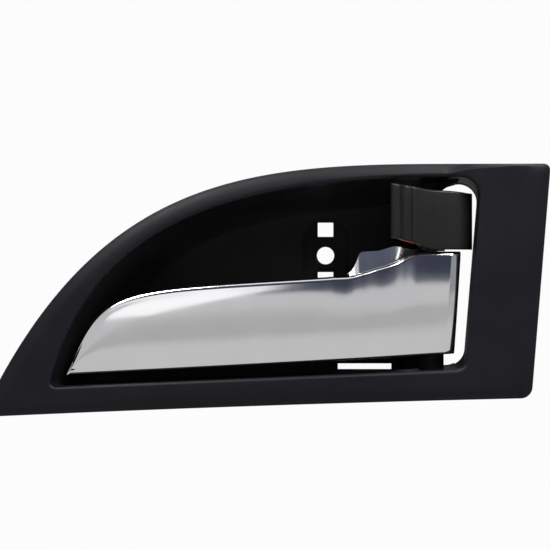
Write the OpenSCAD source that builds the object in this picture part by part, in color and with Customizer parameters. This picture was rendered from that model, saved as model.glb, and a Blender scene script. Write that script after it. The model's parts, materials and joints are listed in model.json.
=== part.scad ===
// Car interior door handle for a right-hand door: moulded bezel with finger cup,
// pull lever with a chrome cover, and a lock knob on the same hinge pin.
// Frame: origin at the centre of the fixing screw hole on its seat, +X towards the hinge,
// +Y into the door, +Z up. Sizes are in millimetres and angles in degrees.

/* [Cup] */
// Reach of the cup mouth from the fixing hole to its left tip
cup_left = 92.7; // [90:0.1:96]
// Reach of the cup mouth from the fixing hole to its top right corner
cup_right = 51.2; // [51:0.1:54]
// How far the right side of the mouth leans in towards the bottom
cup_lean = 5.1; // [4.4:0.1:5.6]
// Height of the mouth above the fixing hole
cup_top = 26; // [25.6:0.1:28]
// Distance of the mouth's bottom edge below the fixing hole, at the hinge end
cup_foot = 38.2; // [37.8:0.1:41]
// How much lower the bottom edge of the mouth runs at the left tip
cup_foot_drop = 5.9; // [5:0.1:6.5]
// Depth from the front of the bezel to the screw seat
cup_depth = 26; // [24:0.5:30]
// How far the cup floor stands in front of the screw seat
seat_depth = 2.5; // [1.5:0.1:3]
// Width of the sloping wall below the crest
slope_top = 10.6; // [9:0.1:11.4]
// Width of the sloping wall at the left tip
slope_left = 16.2; // [12:0.1:18]
// How far the wall at the hinge end opens outwards towards the back
hinge_flare = 1.9; // [1.6:0.1:2.2]
// Thickness of the moulded walls
wall = 2; // [1.8:0.1:2.2]

/* [Bezel] */
// Width of the bezel at the left tip
bezel_left = 23.3; // [18:0.1:28]
// Width of the bezel above the cup
bezel_top = 4.6; // [4.2:0.1:6]
// Width of the bezel at the hinge end
bezel_right = 23.6; // [21:0.1:26]
// How much more the outer right side leans in than the mouth does
bezel_lean = 1.3; // [0.8:0.1:2]
// Width of the bezel below the cup, at the hinge end
bezel_foot = 9.7; // [9:0.1:12]
// How much wider the lower bezel grows towards the left tip
bezel_foot_grow = 0.4; // [0:0.1:2]
// Upward bow of the bezel's bottom edge
bezel_bow = 0.5; // [0:0.1:1]
// Depth of the bezel's rim from front to back
rim_depth = 6; // [5:0.1:8]
// Thickness of the bezel's rim
rim_t = 1.5; // [1.2:0.1:1.6]
// How far the bezel falls back towards its outer edge
crown_fall = 2.2; // [1.5:0.1:3]
// Width over which the bezel falls back
crown_w = 8; // [6:0.1:10]
// Radius of the bezel's outer edge
edge_round = 0.8; // [0.5:0.1:1]
// Radius where the bezel turns into the cup
mouth_round = 1.2; // [0.8:0.1:1.4]

/* [Fixing] */
// Diameter of the fixing screw hole
screw_d = 6; // [5:0.1:6.4]
// Radius of the recess round the screw seat
seat_r = 8; // [7:0.1:9]
// Half the distance between the ends' centres of the recess
seat_reach = 4.6; // [4:0.1:5]
// Width of the square windows above and below the screw
window_w = 5.4; // [4:0.1:6]
// Height of the square windows
window_h = 4.9; // [4:0.1:5]
// Distance from the screw's centre to the upper window
window_rise = 6.5; // [6:0.1:7]
// Distance from the screw's centre to the lower window
window_drop = 5.7; // [5.4:0.1:7]
// Length of the slot in the bottom of the cup
slot_l = 18.5; // [12:0.5:20]
// Height of the slot in the bottom of the cup
slot_h = 2; // [1.6:0.1:3.4]

/* [Hinge] */
// Distance from the fixing hole to the hinge pin
pin_x = 35.5; // [34:0.1:37]
// Depth of the hinge pin behind the front of the bezel
pin_depth = 12; // [11:0.1:13]
// Diameter of the hinge pin
pin_d = 4; // [3.5:0.1:4.5]
// Radius of the pin's lugs
lug_r = 4.2; // [3.8:0.1:4.6]
// Running clearance round the pin
pin_fit = 0.05; // [0.03:0.01:0.08]
// Clearance between parts that turn past each other
side_gap = 0.2; // [0.15:0.05:0.3]
// Length of the lock knob's hub
knob_hub_l = 18.2; // [16:0.1:19]
// Length of the lever's upper hinge knuckle
knuckle_l = 15.2; // [13:0.1:17]
// Length of the lever's lower hinge knuckle
low_knuckle_l = 5.7; // [4:0.1:6.5]
// Thickness of the washer between lever and knob
washer_t = 1; // [0.8:0.1:1.5]

/* [Lever] */
// Gap between the mouth's left tip and the lever
lever_gap_left = 5.1; // [4.5:0.1:7]
// Gap between the mouth's bottom edge and the lever
lever_gap_foot = 3.5; // [3:0.1:4]
// How much more of that gap there is at the hinge end
lever_foot_rise = 1.6; // [0.8:0.1:2.4]
// Height of the lever above its bottom edge at the middle
lever_h = 28.2; // [26:0.1:29]
// Distance from the pin to the lever's right edge
lever_right = 9.5; // [8.4:0.1:9.8]
// How far the lever's right edge leans in towards the bottom
lever_lean = 2.1; // [1.5:0.1:2.6]
// How far the lever's face lies behind the front of the bezel
lever_recess = 2; // [1.5:0.1:3]
// Depth of the lever's cover from face to back edge
lever_depth = 6.5; // [6:0.1:7.5]
// Depth of the raised ear over the hinge
ear_depth = 8.5; // [7.5:0.1:9]
// Width of the bevel down the lever's right edge
bevel_w = 3.2; // [2.4:0.1:3.6]
// How far the ends of the lever curve back
lever_bow = 1.6; // [0.5:0.1:2.5]
// How far the lever's face bulges between its edges
lever_bulge = 0.7; // [0.2:0.1:1.2]
// Radius of the lever's long edges
lever_roll = 1.6; // [1:0.1:2]
// Thickness of the chrome cover
cover_t = 1.8; // [1.4:0.1:2]
// Clearance between the cover and its carrier
cover_fit = 0.1; // [0.05:0.05:0.2]
// Thickness of the carrier's plate
plate_t = 2.4; // [2:0.1:2.8]
// Travel of the lever
lever_travel = 28; // [20:1:30]

/* [Lock knob] */
// How much the knob sweeps up towards its finger bead
knob_sweep = 3.1; // [1:0.1:3.4]
// How much the knob's front edge stands above the middle of its hub
knob_crown = 0.9; // [0.4:0.1:1]
// How far the knob's front edge hangs below its hub
knob_skirt = 0.8; // [0:0.1:1]
// Radius of the knob's long edges
knob_round = 0.8; // [0.4:0.1:1]
// Travel of the knob
knob_travel = 18; // [12:1:20]

/* [Cables] */
// Distance from the pin to the cable ends
arm_l = 26; // [24:0.5:28]
// Thickness of the arms
arm_t = 4; // [3:0.1:5]
// Height of the lock cable above the fixing hole
lock_cable_z = 12; // [10:0.5:14]
// Distance of the release cable below the fixing hole
release_cable_z = 11; // [9:0.5:12]
// Distance from the fixing hole to the cable bracket
bracket_x = 62; // [59:0.5:62.5]
// Width of the slots that hold the cable sheaths
sheath_w = 5; // [4:0.1:6]

/* [Spring] */
// Wire diameter of the lever's return spring
wire_d = 1.2; // [0.8:0.1:1.4]
// Mean radius of the spring's coil
coil_r = 3.3; // [3.1:0.1:3.5]
// Turns of the spring between its legs
coil_turns = 5; // [3:1:6]

/* [Hidden] */
$fn = 48;

// Places that follow from the sizes above
front_y = -cup_depth;
floor_y = -seat_depth;
rim_back_y = front_y + rim_depth;
pin_y = front_y + pin_depth;
slot_floor_gap = 0.2;
wall_draft = 0.3;
mouth_tip = [-cup_left, -cup_foot - cup_foot_drop];
mouth_heel = [cup_right - cup_lean, -cup_foot];
mouth_head = [cup_right, cup_top];
bezel_tip = mouth_tip - [bezel_left, bezel_foot + bezel_foot_grow];
bezel_heel = mouth_heel + [bezel_right - bezel_lean, -bezel_foot];
bezel_head = mouth_head + [bezel_right, bezel_top];
floor_tip = mouth_tip + [slope_left, 3 * wall_draft];
floor_heel = mouth_heel + [hinge_flare - wall_draft, wall_draft];
floor_head = mouth_head + [hinge_flare, 1.1];
bezel_crest_end = [38.6, bezel_head[1] - 0.1];
mouth_crest_end = [40, cup_top];
floor_crest_end = [13, cup_top - slope_top];
floor_bow = -0.2;

// Steps along each stretch of an outline
tip_steps = 4;
crest_steps = 26;
top_steps = 3;
corner_steps = 5;
side_steps = 5;
foot_steps = 12;

function lerp(a, b, t) = a + (b - a) * t;
function clamp(v, low, high) = min(max(v, low), high);
function smooth(t) = let(s = clamp(t, 0, 1)) s * s * (3 - 2 * s);
function unit(v) = v / norm(v);
function bezier(p, t) =
    let(s = 1 - t)
    s * s * s * p[0] + 3 * s * s * t * p[1] + 3 * s * t * t * p[2] + t * t * t * p[3];
function z_between(a, b, x) = lerp(a[1], b[1], (x - a[0]) / (b[0] - a[0]));

// Points of a round corner at p between neighbours a and b, walked clockwise
function corner(a, p, b, r, n) =
    let(
        u = unit(a - p),
        v = unit(b - p),
        half = acos(u * v) / 2,
        centre = p + unit(u + v) * r / sin(half),
        start = p + u * r / tan(half) - centre,
        first = atan2(start[1], start[0]),
        sweep = 2 * (90 - half)
    )
    [for (i = [0 : n]) centre + r * [cos(first - sweep * i / n), sin(first - sweep * i / n)]];

// Point at the shares s of the way from a to b, along X and along Z
function part_way(a, b, s) = [lerp(a[0], b[0], s[0]), lerp(a[1], b[1], s[1])];

// Closed outline, clockwise from the left tip: crest curve, head corner, side, heel, foot
function outline(tip, shares, crest_end, head, heel, radii, bow) =
    let(
        lead = part_way(tip, crest_end, shares[0]),
        reach = part_way(tip, crest_end, shares[1]),
        toe_arc = corner(heel, tip, lead, radii[0], tip_steps),
        head_arc = corner(crest_end, head, heel, radii[1], corner_steps),
        heel_arc = corner(head, heel, tip, radii[2], corner_steps),
        crest = [toe_arc[tip_steps], lead, reach, crest_end]
    )
    concat(
        toe_arc,
        [for (i = [1 : crest_steps]) bezier(crest, i / crest_steps)],
        [for (i = [1 : top_steps]) lerp(crest_end, head_arc[0], i / (top_steps + 1))],
        head_arc,
        [for (i = [1 : side_steps])
            lerp(head_arc[corner_steps], heel_arc[0], i / (side_steps + 1))],
        heel_arc,
        [for (i = [1 : foot_steps])
            let(s = i / (foot_steps + 1))
            lerp(heel_arc[corner_steps], toe_arc[0], s) + [0, 4 * bow * s * (1 - s)]]
    );

// The outline moved outwards by d, or inwards where d is negative
function grow(ring, d) =
    let(n = len(ring))
    [for (i = [0 : n - 1])
        let(along = unit(ring[(i + 1) % n] - ring[(i + n - 1) % n]))
        ring[i] + d * [-along[1], along[0]]];

// A flat outline placed at one depth, or at a depth of its own for each point
function at_depth(ring, y) = [for (p = ring) [p[0], y, p[1]]];
function at_depths(ring, y) = [for (i = [0 : len(ring) - 1]) [ring[i][0], y[i], ring[i][1]]];

// Solid between closed rings of equally many points, with flat ends
module loft(rings) {
    n = len(rings[0]);
    last = (len(rings) - 1) * n;
    sides = [
        for (k = [0 : len(rings) - 2])
            for (i = [0 : n - 1])
                let(a = k * n + i, b = k * n + (i + 1) % n)
                each [[a, a + n, b + n], [a, b + n, b]]
    ];
    ends = [[for (i = [0 : n - 1]) i], [for (i = [n - 1 : -1 : 0]) last + i]];
    polyhedron([for (ring = rings) each ring], concat(sides, ends), convexity = 10);
}

// Block given by its two opposite corners
module block(low, high) {
    translate(low) cube(high - low);
}

// Round bar along Y or along X
module bar_y(r, y0, y1) {
    translate([0, y0, 0]) rotate([-90, 0, 0]) cylinder(r = r, h = y1 - y0);
}
module bar_x(r, x0, x1) {
    translate([x0, 0, 0]) rotate([0, 90, 0]) cylinder(r = r, h = x1 - x0);
}

// Prisms along X, Y and Z on outlines in the other two directions
module prism_x(points, x0, x1) {
    translate([x0, 0, 0])
        rotate([90, 0, 90]) linear_extrude(x1 - x0) polygon(points);
}
module prism_y(points, y0, y1) {
    translate([0, y1, 0]) rotate([90, 0, 0]) linear_extrude(y1 - y0) polygon(points);
}
module prism_z(points, z0, z1) {
    translate([0, 0, z0]) linear_extrude(z1 - z0) polygon(points);
}

// Handles of the crest curves as shares of their length and rise, and corner radii
bezel_shares = [[0.259, 0.953], [0.577, 0.999]];
mouth_shares = [[0.112, 0.872], [0.553, 0.991]];
floor_shares = [[0.212, 0.829], [0.507, 0.913]];
bezel_radii = [2.7, 2.2, 4];
mouth_radii = [1.6, 6.4, 3.4];
floor_radii = [5, 6.4, 6.2];

// Outlines of the bezel, the mouth and the cup floor
bezel_ring = outline(bezel_tip, bezel_shares, bezel_crest_end, bezel_head, bezel_heel,
    bezel_radii, bezel_bow);
mouth_ring = outline(mouth_tip, mouth_shares, mouth_crest_end, mouth_head, mouth_heel,
    mouth_radii, 0);
floor_ring = outline(floor_tip, floor_shares, floor_crest_end, floor_head, floor_heel,
    floor_radii, floor_bow);

// Front of the bezel at the distance d from its outer edge
function face_y(d) = front_y + crown_fall * pow(max(0, 1 - d / crown_w), 2);

ring_n = len(bezel_ring);
mouth_edge = grow(mouth_ring, mouth_round);
bezel_width = [for (i = [0 : ring_n - 1]) norm(mouth_edge[i] - bezel_ring[i])];
edge_y = [for (w = bezel_width) face_y(w)];
throat_y = [for (y = edge_y) y + mouth_round];
under_y = [for (w = bezel_width)
    lerp(rim_back_y - 0.4, front_y + wall, smooth((w - 3.6) / 3))];

// Ring across the bezel at the share s of its width
function bezel_row(s) =
    at_depths([for (i = [0 : ring_n - 1]) lerp(bezel_ring[i], mouth_edge[i], s)],
        [for (w = bezel_width) face_y(s * w)]);
// Ring where the bezel turns into the cup, at the angle a of the turn
function throat_row(a) =
    at_depths(grow(mouth_ring, mouth_round * (1 - sin(a))),
        [for (y = edge_y) y + mouth_round * (1 - cos(a))]);
// Ring on the cup wall, inside or outside: p holds the share across and the share down
function wall_row(p, out, back) =
    at_depths(grow([for (i = [0 : ring_n - 1]) lerp(mouth_ring[i], floor_ring[i], p[0])], out),
        [for (y = throat_y) lerp(y, floor_y, p[1]) + back]);

wall_curve = [[0.9, 0.985], [0.74, 0.92], [0.5, 0.76], [0.25, 0.46], [0.09, 0.2]];

// Prism of the window in the floor for the hinge, kept inside the floor's outline
window_left = pin_x - 9.5;
window_lip = 0.15;
window_inner = grow(floor_ring, -window_lip);
hinge_window = concat(
    [for (p = window_inner) if (p[0] > window_left + 0.5) p],
    [[window_left, z_between(floor_heel, floor_tip, window_left) + window_lip],
     [window_left, z_between(floor_crest_end, floor_head, window_left) - window_lip]]
);
collar_back = 6;
collar_side_back = floor_y + wall + 1;
tongue_x = pin_x - 2;
tongue_top = 7.5;
tongue_low = -6.5;

// Heights along the hinge pin, from the top lug down
hub_drop = 5.2;
hub_top = cup_top - hub_drop;
hub_low = hub_top - knob_hub_l;
knuckle_top = hub_low - washer_t - 2 * side_gap;
knuckle_low = knuckle_top - knuckle_l;
low_knuckle_rise = 5;
low_knuckle_low = -cup_foot + low_knuckle_rise;
low_knuckle_top = low_knuckle_low + low_knuckle_l;
top_lug_z = cup_top + 1.8;
low_lug_z = -cup_foot - 4.9;
pin_head_t = 0.9;
pin_end_z = low_lug_z - 2.2;
hub_r = pin_d / 2 + 3;

// The moulded skin of bezel and cup, before its windows are cut
module cup_shell() {
    loft(concat(
        [at_depth(floor_ring, floor_y)],
        [for (p = wall_curve) wall_row(p, 0, 0)],
        [for (a = [90, 60, 30]) throat_row(a)],
        [for (s = [1, 0.75, 0.5, 0.3, 0.15]) bezel_row(s)],
        [at_depth(grow(bezel_ring, -edge_round * 0.3), face_y(0) + edge_round * 0.3)],
        [at_depth(bezel_ring, face_y(0) + edge_round)],
        [at_depth(bezel_ring, rim_back_y)],
        [at_depth(grow(bezel_ring, -rim_t), rim_back_y)],
        [at_depths(grow(bezel_ring, -rim_t), under_y)],
        [at_depths(grow(mouth_ring, wall), under_y)],
        [for (k = [4, 2, 1]) wall_row(wall_curve[k], wall, 0.3)],
        [at_depth(grow(floor_ring, wall * 0.6), floor_y + wall)]
    ));
}

// Long hole shape that stands upright, along Y
module upright_slot(r, reach, y0, y1) {
    for (s = [-1, 1])
        translate([0, 0, s * reach]) bar_y(r, y0, y1);
    block([-r, y0, -reach], [r, y1, reach]);
}

// Holes and windows of the cup
module cup_windows() {
    slot_low = z_between(floor_heel, floor_tip, slot_x) + slot_floor_gap;
    upright_slot(seat_r, seat_reach, floor_y - 1, 0);
    bar_y(screw_d / 2, -1, wall + 1);
    block([-window_w / 2, -1, window_rise], [window_w / 2, wall + 1, window_rise + window_h]);
    block([-window_w / 2, -1, -window_drop - window_h], [window_w / 2, wall + 1, -window_drop]);
    block([slot_x - slot_l / 2, floor_y - 2, slot_low],
        [slot_x + slot_l / 2, wall + 1, slot_low + slot_h]);
    prism_y(hinge_window, floor_y - 1.5, collar_back + 1);
}
slot_x = 13.4;

// Collar round the hinge window behind the floor, lower at the hinge end
module collar() {
    difference() {
        prism_y(grow(hinge_window, wall), floor_y + wall / 2, collar_back);
        block([pin_x + lug_r + 5, collar_side_back, low_lug_z],
            [mouth_head[0] + 3 * wall, collar_back + 1, top_lug_z + wall]);
    }
}

// Lugs that hold the hinge pin above and below the hubs
module pin_lugs() {
    low = hub_top + side_gap;
    translate([pin_x, pin_y, 0]) {
        translate([0, 0, low]) cylinder(r = lug_r - 0.6, h = top_lug_z - low);
        translate([0, 0, low_lug_z])
            cylinder(r = lug_r, h = low_knuckle_low - side_gap - low_lug_z);
        prism_y([[0, low + 0.2], [3, low + 0.5], [6.5, low + 2.9], [8.6, low + 3.5],
            [10, top_lug_z - 1], [0, top_lug_z - 1]], -wall, wall);
    }
}

// Strips of the floor that reach into the hinge window
module floor_tongues() {
    low = z_between(floor_heel, floor_tip, window_left) - wall / 2;
    block([window_left - 1, floor_y, tongue_low], [tongue_x, floor_y + wall, tongue_top]);
    block([window_left - 1, floor_y, low], [pin_x + 1, floor_y + wall, low + tongue_h]);
}
tongue_h = 5.6;

// Folded steel bracket that holds the two cable sheaths behind the bezel
bracket_t = 1.6;
bracket_top = lock_cable_z + 9;
bracket_low = -release_cable_z - 9;
bracket_back = pin_y + arm_l + 5;
bracket_foot = 7.5;
bracket_y = front_y + wall + 0.05;
bend_r = 0.6;
stake_r = 1.5;
stake_fit = 0.05;
stake_x = bracket_x - bracket_foot / 2;
stake_z = [bracket_low + 9, bracket_top - 9];
module cable_bracket() color([0.62, 0.62, 0.6]) {
    outer = bend_r + bracket_t;
    turn = [-90 : 15 : 0];
    difference() {
        union() {
            prism_z(concat(
                [[bracket_x - bracket_foot, bracket_y]],
                [for (a = turn)
                    [bracket_x - bend_r, bracket_y + outer] + outer * [cos(a), sin(a)]],
                [[bracket_x + bracket_t, bracket_back], [bracket_x, bracket_back]],
                [for (a = [0 : -15 : -90])
                    [bracket_x - bend_r, bracket_y + outer] + bend_r * [cos(a), sin(a)]],
                [[bracket_x - bracket_foot, bracket_y + bracket_t]]
            ), bracket_low, bracket_top);
            for (z = [bracket_low, bracket_top - bracket_t])
                prism_z([[bracket_x - bracket_foot, bracket_y + bracket_t / 2],
                    [bracket_x + bracket_t / 2, bracket_y + bracket_t / 2],
                    [bracket_x + bracket_t / 2, pin_y + 4],
                    [bracket_x - bracket_foot, bracket_y + 3 * bracket_t]], z, z + bracket_t);
        }
        for (z = [lock_cable_z, -release_cable_z]) {
            block([bracket_x - 1, pin_y + arm_l * 0.97, z - sheath_w / 2],
                [bracket_x + bracket_t + 1, bracket_back + 1, z + sheath_w / 2]);
            translate([0, pin_y + arm_l * 0.97, z])
                bar_x(sheath_w / 2, bracket_x - 1, bracket_x + bracket_t + 1);
        }
        for (z = stake_z)
            translate([stake_x, 0, z])
                bar_y(stake_r + stake_fit, bracket_y - 1, bracket_y + bracket_t + 1);
    }
}

// Pins of the moulding whose melted heads hold the bracket's foot
module bracket_stakes() {
    head_y = bracket_y + bracket_t + stake_fit;
    for (z = stake_z)
        translate([stake_x, 0, z]) {
            bar_y(stake_r, front_y + wall / 2, head_y + 0.4);
            bar_y(stake_r + 1.1, head_y, head_y + 0.9);
        }
}

// Ribs behind the bezel, from the cup wall out to the rim
blade_foot_y = front_y + wall * 0.7;
rib_t = 1.6;
rim_rib_at = [2, 12, 15, 18];
foot_rib_x = [-44, -26, 14, 32];
rim_rib_y = rim_back_y - 0.8;
rib_foot_y = front_y + wall - 0.1;
rib_reach = rim_t * 0.8;
module rim_ribs() {
    for (i = rim_rib_at) {
        along = unit(bezel_ring[i] - mouth_ring[i]);
        side = [-along[1], along[0]] * rib_t / 2;
        near = mouth_ring[i] + along * wall;
        far = bezel_ring[i] - along * rib_reach;
        prism_y([near + side, far + side, far - side, near - side], rib_foot_y, rim_rib_y);
    }
    for (x = foot_rib_x)
        block([x - rib_t / 2, rib_foot_y, z_between(bezel_heel, bezel_tip, x) + rib_reach],
            [x + rib_t / 2, rim_rib_y, z_between(mouth_heel, mouth_tip, x) - wall / 2]);
}

// Blades behind the bezel that carry the steel panel clips
blade_t = 2;
blade_w = 9;
blade_back = front_y + 18;
function foot_mid_z(x) =
    (z_between(mouth_heel, mouth_tip, x) - wall
        + z_between(bezel_heel, bezel_tip, x) + rim_t + bezel_bow) / 2;
clip_left_x = -66;
clip_middle_x = -8;
clip_right_z = -30;
blade_right_x = cup_right + bezel_right * 0.6;
module foot_blade(x) {
    block([x - blade_w / 2, blade_foot_y, foot_mid_z(x) - blade_t / 2],
        [x + blade_w / 2, blade_back, foot_mid_z(x) + blade_t / 2]);
}
module clip_blades() {
    foot_blade(clip_left_x);
    foot_blade(clip_middle_x);
    block([blade_right_x - blade_t / 2 - 3, blade_foot_y, clip_right_z - blade_w / 2],
        [blade_right_x + blade_t / 2 - 3, blade_back, clip_right_z + blade_w / 2]);
}

// Hook that grips the door panel's edge behind the crest
hook_w = 8;
hook_rise = 1.8;
hook_x = [-34, 4];
module crest_hook(x) {
    crest_z = lookup(x, [for (p = mouth_ring) if (p[1] > 0 && p[0] < 35) p]);
    translate([x - hook_w / 2, 0, 0])
        prism_x([[-19, crest_z - 0.3], [-19, crest_z + hook_rise], [-17.6, crest_z + hook_rise],
            [-12, crest_z - 0.8], [-12, crest_z - 2.6]], 0, hook_w);
}

module housing() color([0.1, 0.1, 0.11]) {
    difference() {
        union() {
            cup_shell();
            upright_slot(seat_r + wall, seat_reach, floor_y + wall / 2, wall);
            collar();
            pin_lugs();
            bracket_stakes();
            rim_ribs();
            clip_blades();
            for (x = hook_x) crest_hook(x);
            bumper_post();
        }
        cup_windows();
        translate([pin_x, pin_y, pin_end_z])
            cylinder(r = pin_d / 2 + 0.02, h = top_lug_z + 1 - pin_end_z);
        bumper_sockets();
    }
    floor_tongues();
}

// Lever outline: bottom edge, crest curve and the ear over the hinge
lever_end_x = pin_x + lever_right;
lever_tip_x = -cup_left + lever_gap_left;
lever_face_y = front_y + lever_recess;
ear_z = knuckle_top;
function lever_foot(x) =
    z_between(mouth_heel, mouth_tip, x) + lever_gap_foot
    + lever_foot_rise * (x - lever_tip_x) / (lever_end_x - lever_tip_x);
lever_tip = [lever_tip_x, lever_foot(lever_tip_x)];
lever_crest_end = [0, lever_foot(0) + lever_h];
lever_shares = [[0.139, 0.942], [0.163, 0.858]];
lever_crest = [
    lever_tip,
    part_way(lever_tip, lever_crest_end, lever_shares[0]),
    part_way(lever_tip, lever_crest_end, lever_shares[1]),
    lever_crest_end
];
crest_n = 15;
crest_start = 0.012;
crease_gap = 0.1;

// Ear over the hinge: shares of its length, of its rise at the top edge, of its rise at the
// crease of the face, and of its extra depth
ear = [
    [0.1, 0.05, 0.02, 0.1], [0.15, 0.1, 0.03, 0.2], [0.2, 0.28, 0.06, 0.4],
    [0.225, 0.48, 0.09, 0.6], [0.243, 0.67, 0.115, 0.75], [0.257, 0.87, 0.135, 0.85],
    [0.274, 0.965, 0.16, 0.95], [0.31, 1, 0.21, 1], [0.4, 1.02, 0.35, 1], [0.48, 1.12, 0.46, 1],
    [0.545, 1.2, 0.57, 1], [0.63, 1.13, 0.77, 0.8], [0.73, 1.05, 0.96, 0.5],
    [0.85, 1, 0.99, 0.2], [1, 1, 0.985, 0]
];

// Stations along the lever: x, top edge, crease of the front face, depth of the flank
lever_stations = concat(
    [for (i = [0 : crest_n])
        let(t = crest_start + (1 - crest_start) * pow(i / crest_n, 1.5), p = bezier(lever_crest, t))
        [p[0], p[1], p[1] - crease_gap, lever_depth]],
    [for (e = ear)
        let(
            x = e[0] * (lever_end_x - bevel_w),
            rise = ear_z - lever_crest_end[1],
            top = lever_crest_end[1] + rise * e[1]
        )
        [x, top, min(lever_crest_end[1] + rise * e[2], top - crease_gap),
         lerp(lever_depth, ear_depth, e[3])]],
    [for (s = [0.4, 0.75, 0.88, 1])
        [lever_end_x - bevel_w * (1 - s), ear_z, ear_z - crease_gap - 0.2 * s, lever_depth]]
);

// Depth of the lever's face at x, with its bow and the bevel at its right end
function lever_face(x) =
    let(e = max(0, x - lever_end_x + bevel_w))
    lever_face_y + lever_bow * pow((x + 22) / 65, 2) + bevel_slope * e + bevel_curve * e * e
    + bevel_turn * pow(max(0, e - 0.75 * bevel_w), 2);
bevel_slope = 0.3;
bevel_curve = 0.04;
bevel_turn = 1.2;

flank_slope = 0.42;

// Cross-section of the lever at one station, moved in by inset and ending at the depth back
function lever_section(s, inset, back) =
    let(
        foot = lever_foot(s[0]) + inset,
        crease = s[2] - inset,
        top = s[1] - inset,
        face = lever_face(s[0]) + inset,
        roll = min(lever_roll, (crease - foot) / 2.5),
        shoulder = roll + 0.3 + flank_slope * (top - crease),
        lean = lever_lean * smooth((s[0] - 10) / 30)
    )
    [for (p = concat(
        [[top, face - inset + back], [top, face + shoulder]],
        [for (a = [90, 60, 30, 0]) [crease - roll * (1 - sin(a)), face + roll * (1 - cos(a))]],
        [for (u = [0.75, 0.5, 0.25])
            [lerp(foot + roll, crease - roll, u), face - lever_bulge * 4 * u * (1 - u)]],
        [for (a = [0, 30, 60, 90]) [foot + roll * (1 - sin(a)), face + roll * (1 - cos(a))]],
        [[foot, face - inset + back]]
    )) [s[0] + lean * (p[0] - ear_z) / 32, p[1], p[0]]];

// Stations that still have room inside the cover
function inner_stations(inset) =
    let(limit = lever_end_x - inset)
    concat(
        [for (s = lever_stations)
            if (s[2] - lever_foot(s[0]) > 2 * inset + 1.4 && s[0] < limit - 0.2) s],
        [[limit, ear_z, ear_z - 0.2, lever_depth]]
    );

module lever_cover() color([0.82, 0.82, 0.84]) {
    difference() {
        loft([for (s = lever_stations) lever_section(s, 0, s[3])]);
        difference() {
            loft([for (s = inner_stations(cover_t)) lever_section(s, cover_t, s[3] + 1)]);
            for (x = cover_screw_x)
                translate([x, 0, cover_screw_z(x)])
                    bar_y(cover_boss_r, lever_face_y - 2, plate_back(x) - 0.3);
        }
        for (x = cover_screw_x)
            translate([x, 0, cover_screw_z(x)])
                bar_y(cover_screw_r + 0.02, lever_face(x) + cover_t - 0.6, lever_face_y + 20);
        translate([pin_x, pin_y, low_lug_z]) cylinder(r = hub_r + side_gap, h = ear_z + 4 - low_lug_z);
    }
}

// Screws that hold the cover on its carrier
cover_screw_x = [-52, -8];
cover_screw_r = 1.1;
cover_boss_r = 2.4;
screw_head_r = 3;
screw_head_room = 0.5;
function lever_mid_z(x) =
    (lever_foot(x) + lookup(x, [for (s = lever_stations) [s[0], s[2]]])) / 2;
function cover_screw_z(x) = lever_mid_z(x);
function plate_front(x) = lever_face(x) + cover_t + cover_fit;
function plate_back(x) = plate_front(x) + plate_t;

module cover_screws() color([0.6, 0.6, 0.58])
    for (x = cover_screw_x)
        translate([x, 0, cover_screw_z(x)])
            difference() {
                union() {
                    bar_y(cover_screw_r, lever_face(x) + cover_t - 0.4, plate_back(x) + 1);
                    bar_y(screw_head_r, plate_back(x) + 0.12, plate_back(x) + 1.9);
                }
                block([1 - screw_head_r, plate_back(x) + 1.3, -0.4],
                    [screw_head_r - 1, plate_back(x) + 2, 0.4]);
                block([-0.4, plate_back(x) + 1.3, 1 - screw_head_r],
                    [0.4, plate_back(x) + 2, screw_head_r - 1]);
            }

// Arm with an eye for a cable end, from the pin outwards at the angle a from +Y
eye_r = 3.8;
bush_r = 2;
arm_w = 6;
module cable_arm(a, z) {
    translate([pin_x, pin_y, z])
        rotate([0, 0, -a])
            difference() {
                union() {
                    block([-arm_w / 2, 0, -arm_t / 2], [arm_w / 2, arm_l - 3, arm_t / 2]);
                    translate([0, arm_l, -arm_t / 2]) cylinder(r = eye_r, h = arm_t);
                }
                translate([0, arm_l, -arm_t])
                    cylinder(r = bush_r + 0.02, h = 2 * arm_t);
            }
}
lever_arm_a = lever_travel / 2 - 2;
knob_arm_a = -knob_travel / 2;
release_arm_z = -release_cable_z;

module hinge_bore(z0, z1) {
    translate([pin_x, pin_y, z0])
        cylinder(r = pin_d / 2 + pin_fit, h = z1 - z0);
}

module lever_carrier() color([0.13, 0.13, 0.14]) {
    inset = cover_t + cover_fit;
    rib_x = [-66, -38, -22, 8];
    long_rib_z = lever_foot(0) + 6;
    rib_rise = 2;
    difference() {
        union() {
            loft([for (s = inner_stations(inset))
                lever_section([s[0], s[2], s[2] - crease_gap, s[3]], inset, inset + plate_t)]);
            for (x = rib_x)
                block([x - rib_t / 2, plate_front(x) + 1, lever_foot(x) + inset + 1],
                    [x + rib_t / 2, plate_back(x) + rib_rise,
                     2 * lever_mid_z(x) - lever_foot(x) - inset - 1]);
            block([rib_x[0] - 4, plate_front(-22) + 1, long_rib_z],
                [pin_x - 4, plate_back(-22) + rib_rise, long_rib_z + rib_t]);
            knuckle(knuckle_low, knuckle_top);
            knuckle(low_knuckle_low, low_knuckle_top);
            cable_arm(lever_arm_a, release_arm_z);
            spring_peg();
        }
        hinge_bore(low_knuckle_low - 1, knuckle_top + 1);
        for (x = cover_screw_x)
            translate([x, 0, cover_screw_z(x)]) {
                bar_y(cover_boss_r + 0.1, front_y, 0);
                bar_y(screw_head_r + screw_head_room, plate_back(x) + 0.02, 0);
            }
    }
}

// One hinge knuckle of the lever with its web to the plate
module knuckle(z0, z1) {
    inset = cover_t + cover_fit;
    web_low = max(z0 + 0.6, lever_foot(pin_x + hub_r) + inset + 0.6);
    web_high = min(z1 - 0.6, ear_z - inset - 0.6);
    translate([pin_x, pin_y, z0]) cylinder(r = hub_r, h = z1 - z0);
    block([pin_x - hub_r, plate_back(pin_x) - 1.5, web_low], [pin_x + hub_r - 1, pin_y, web_high]);
}

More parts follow.
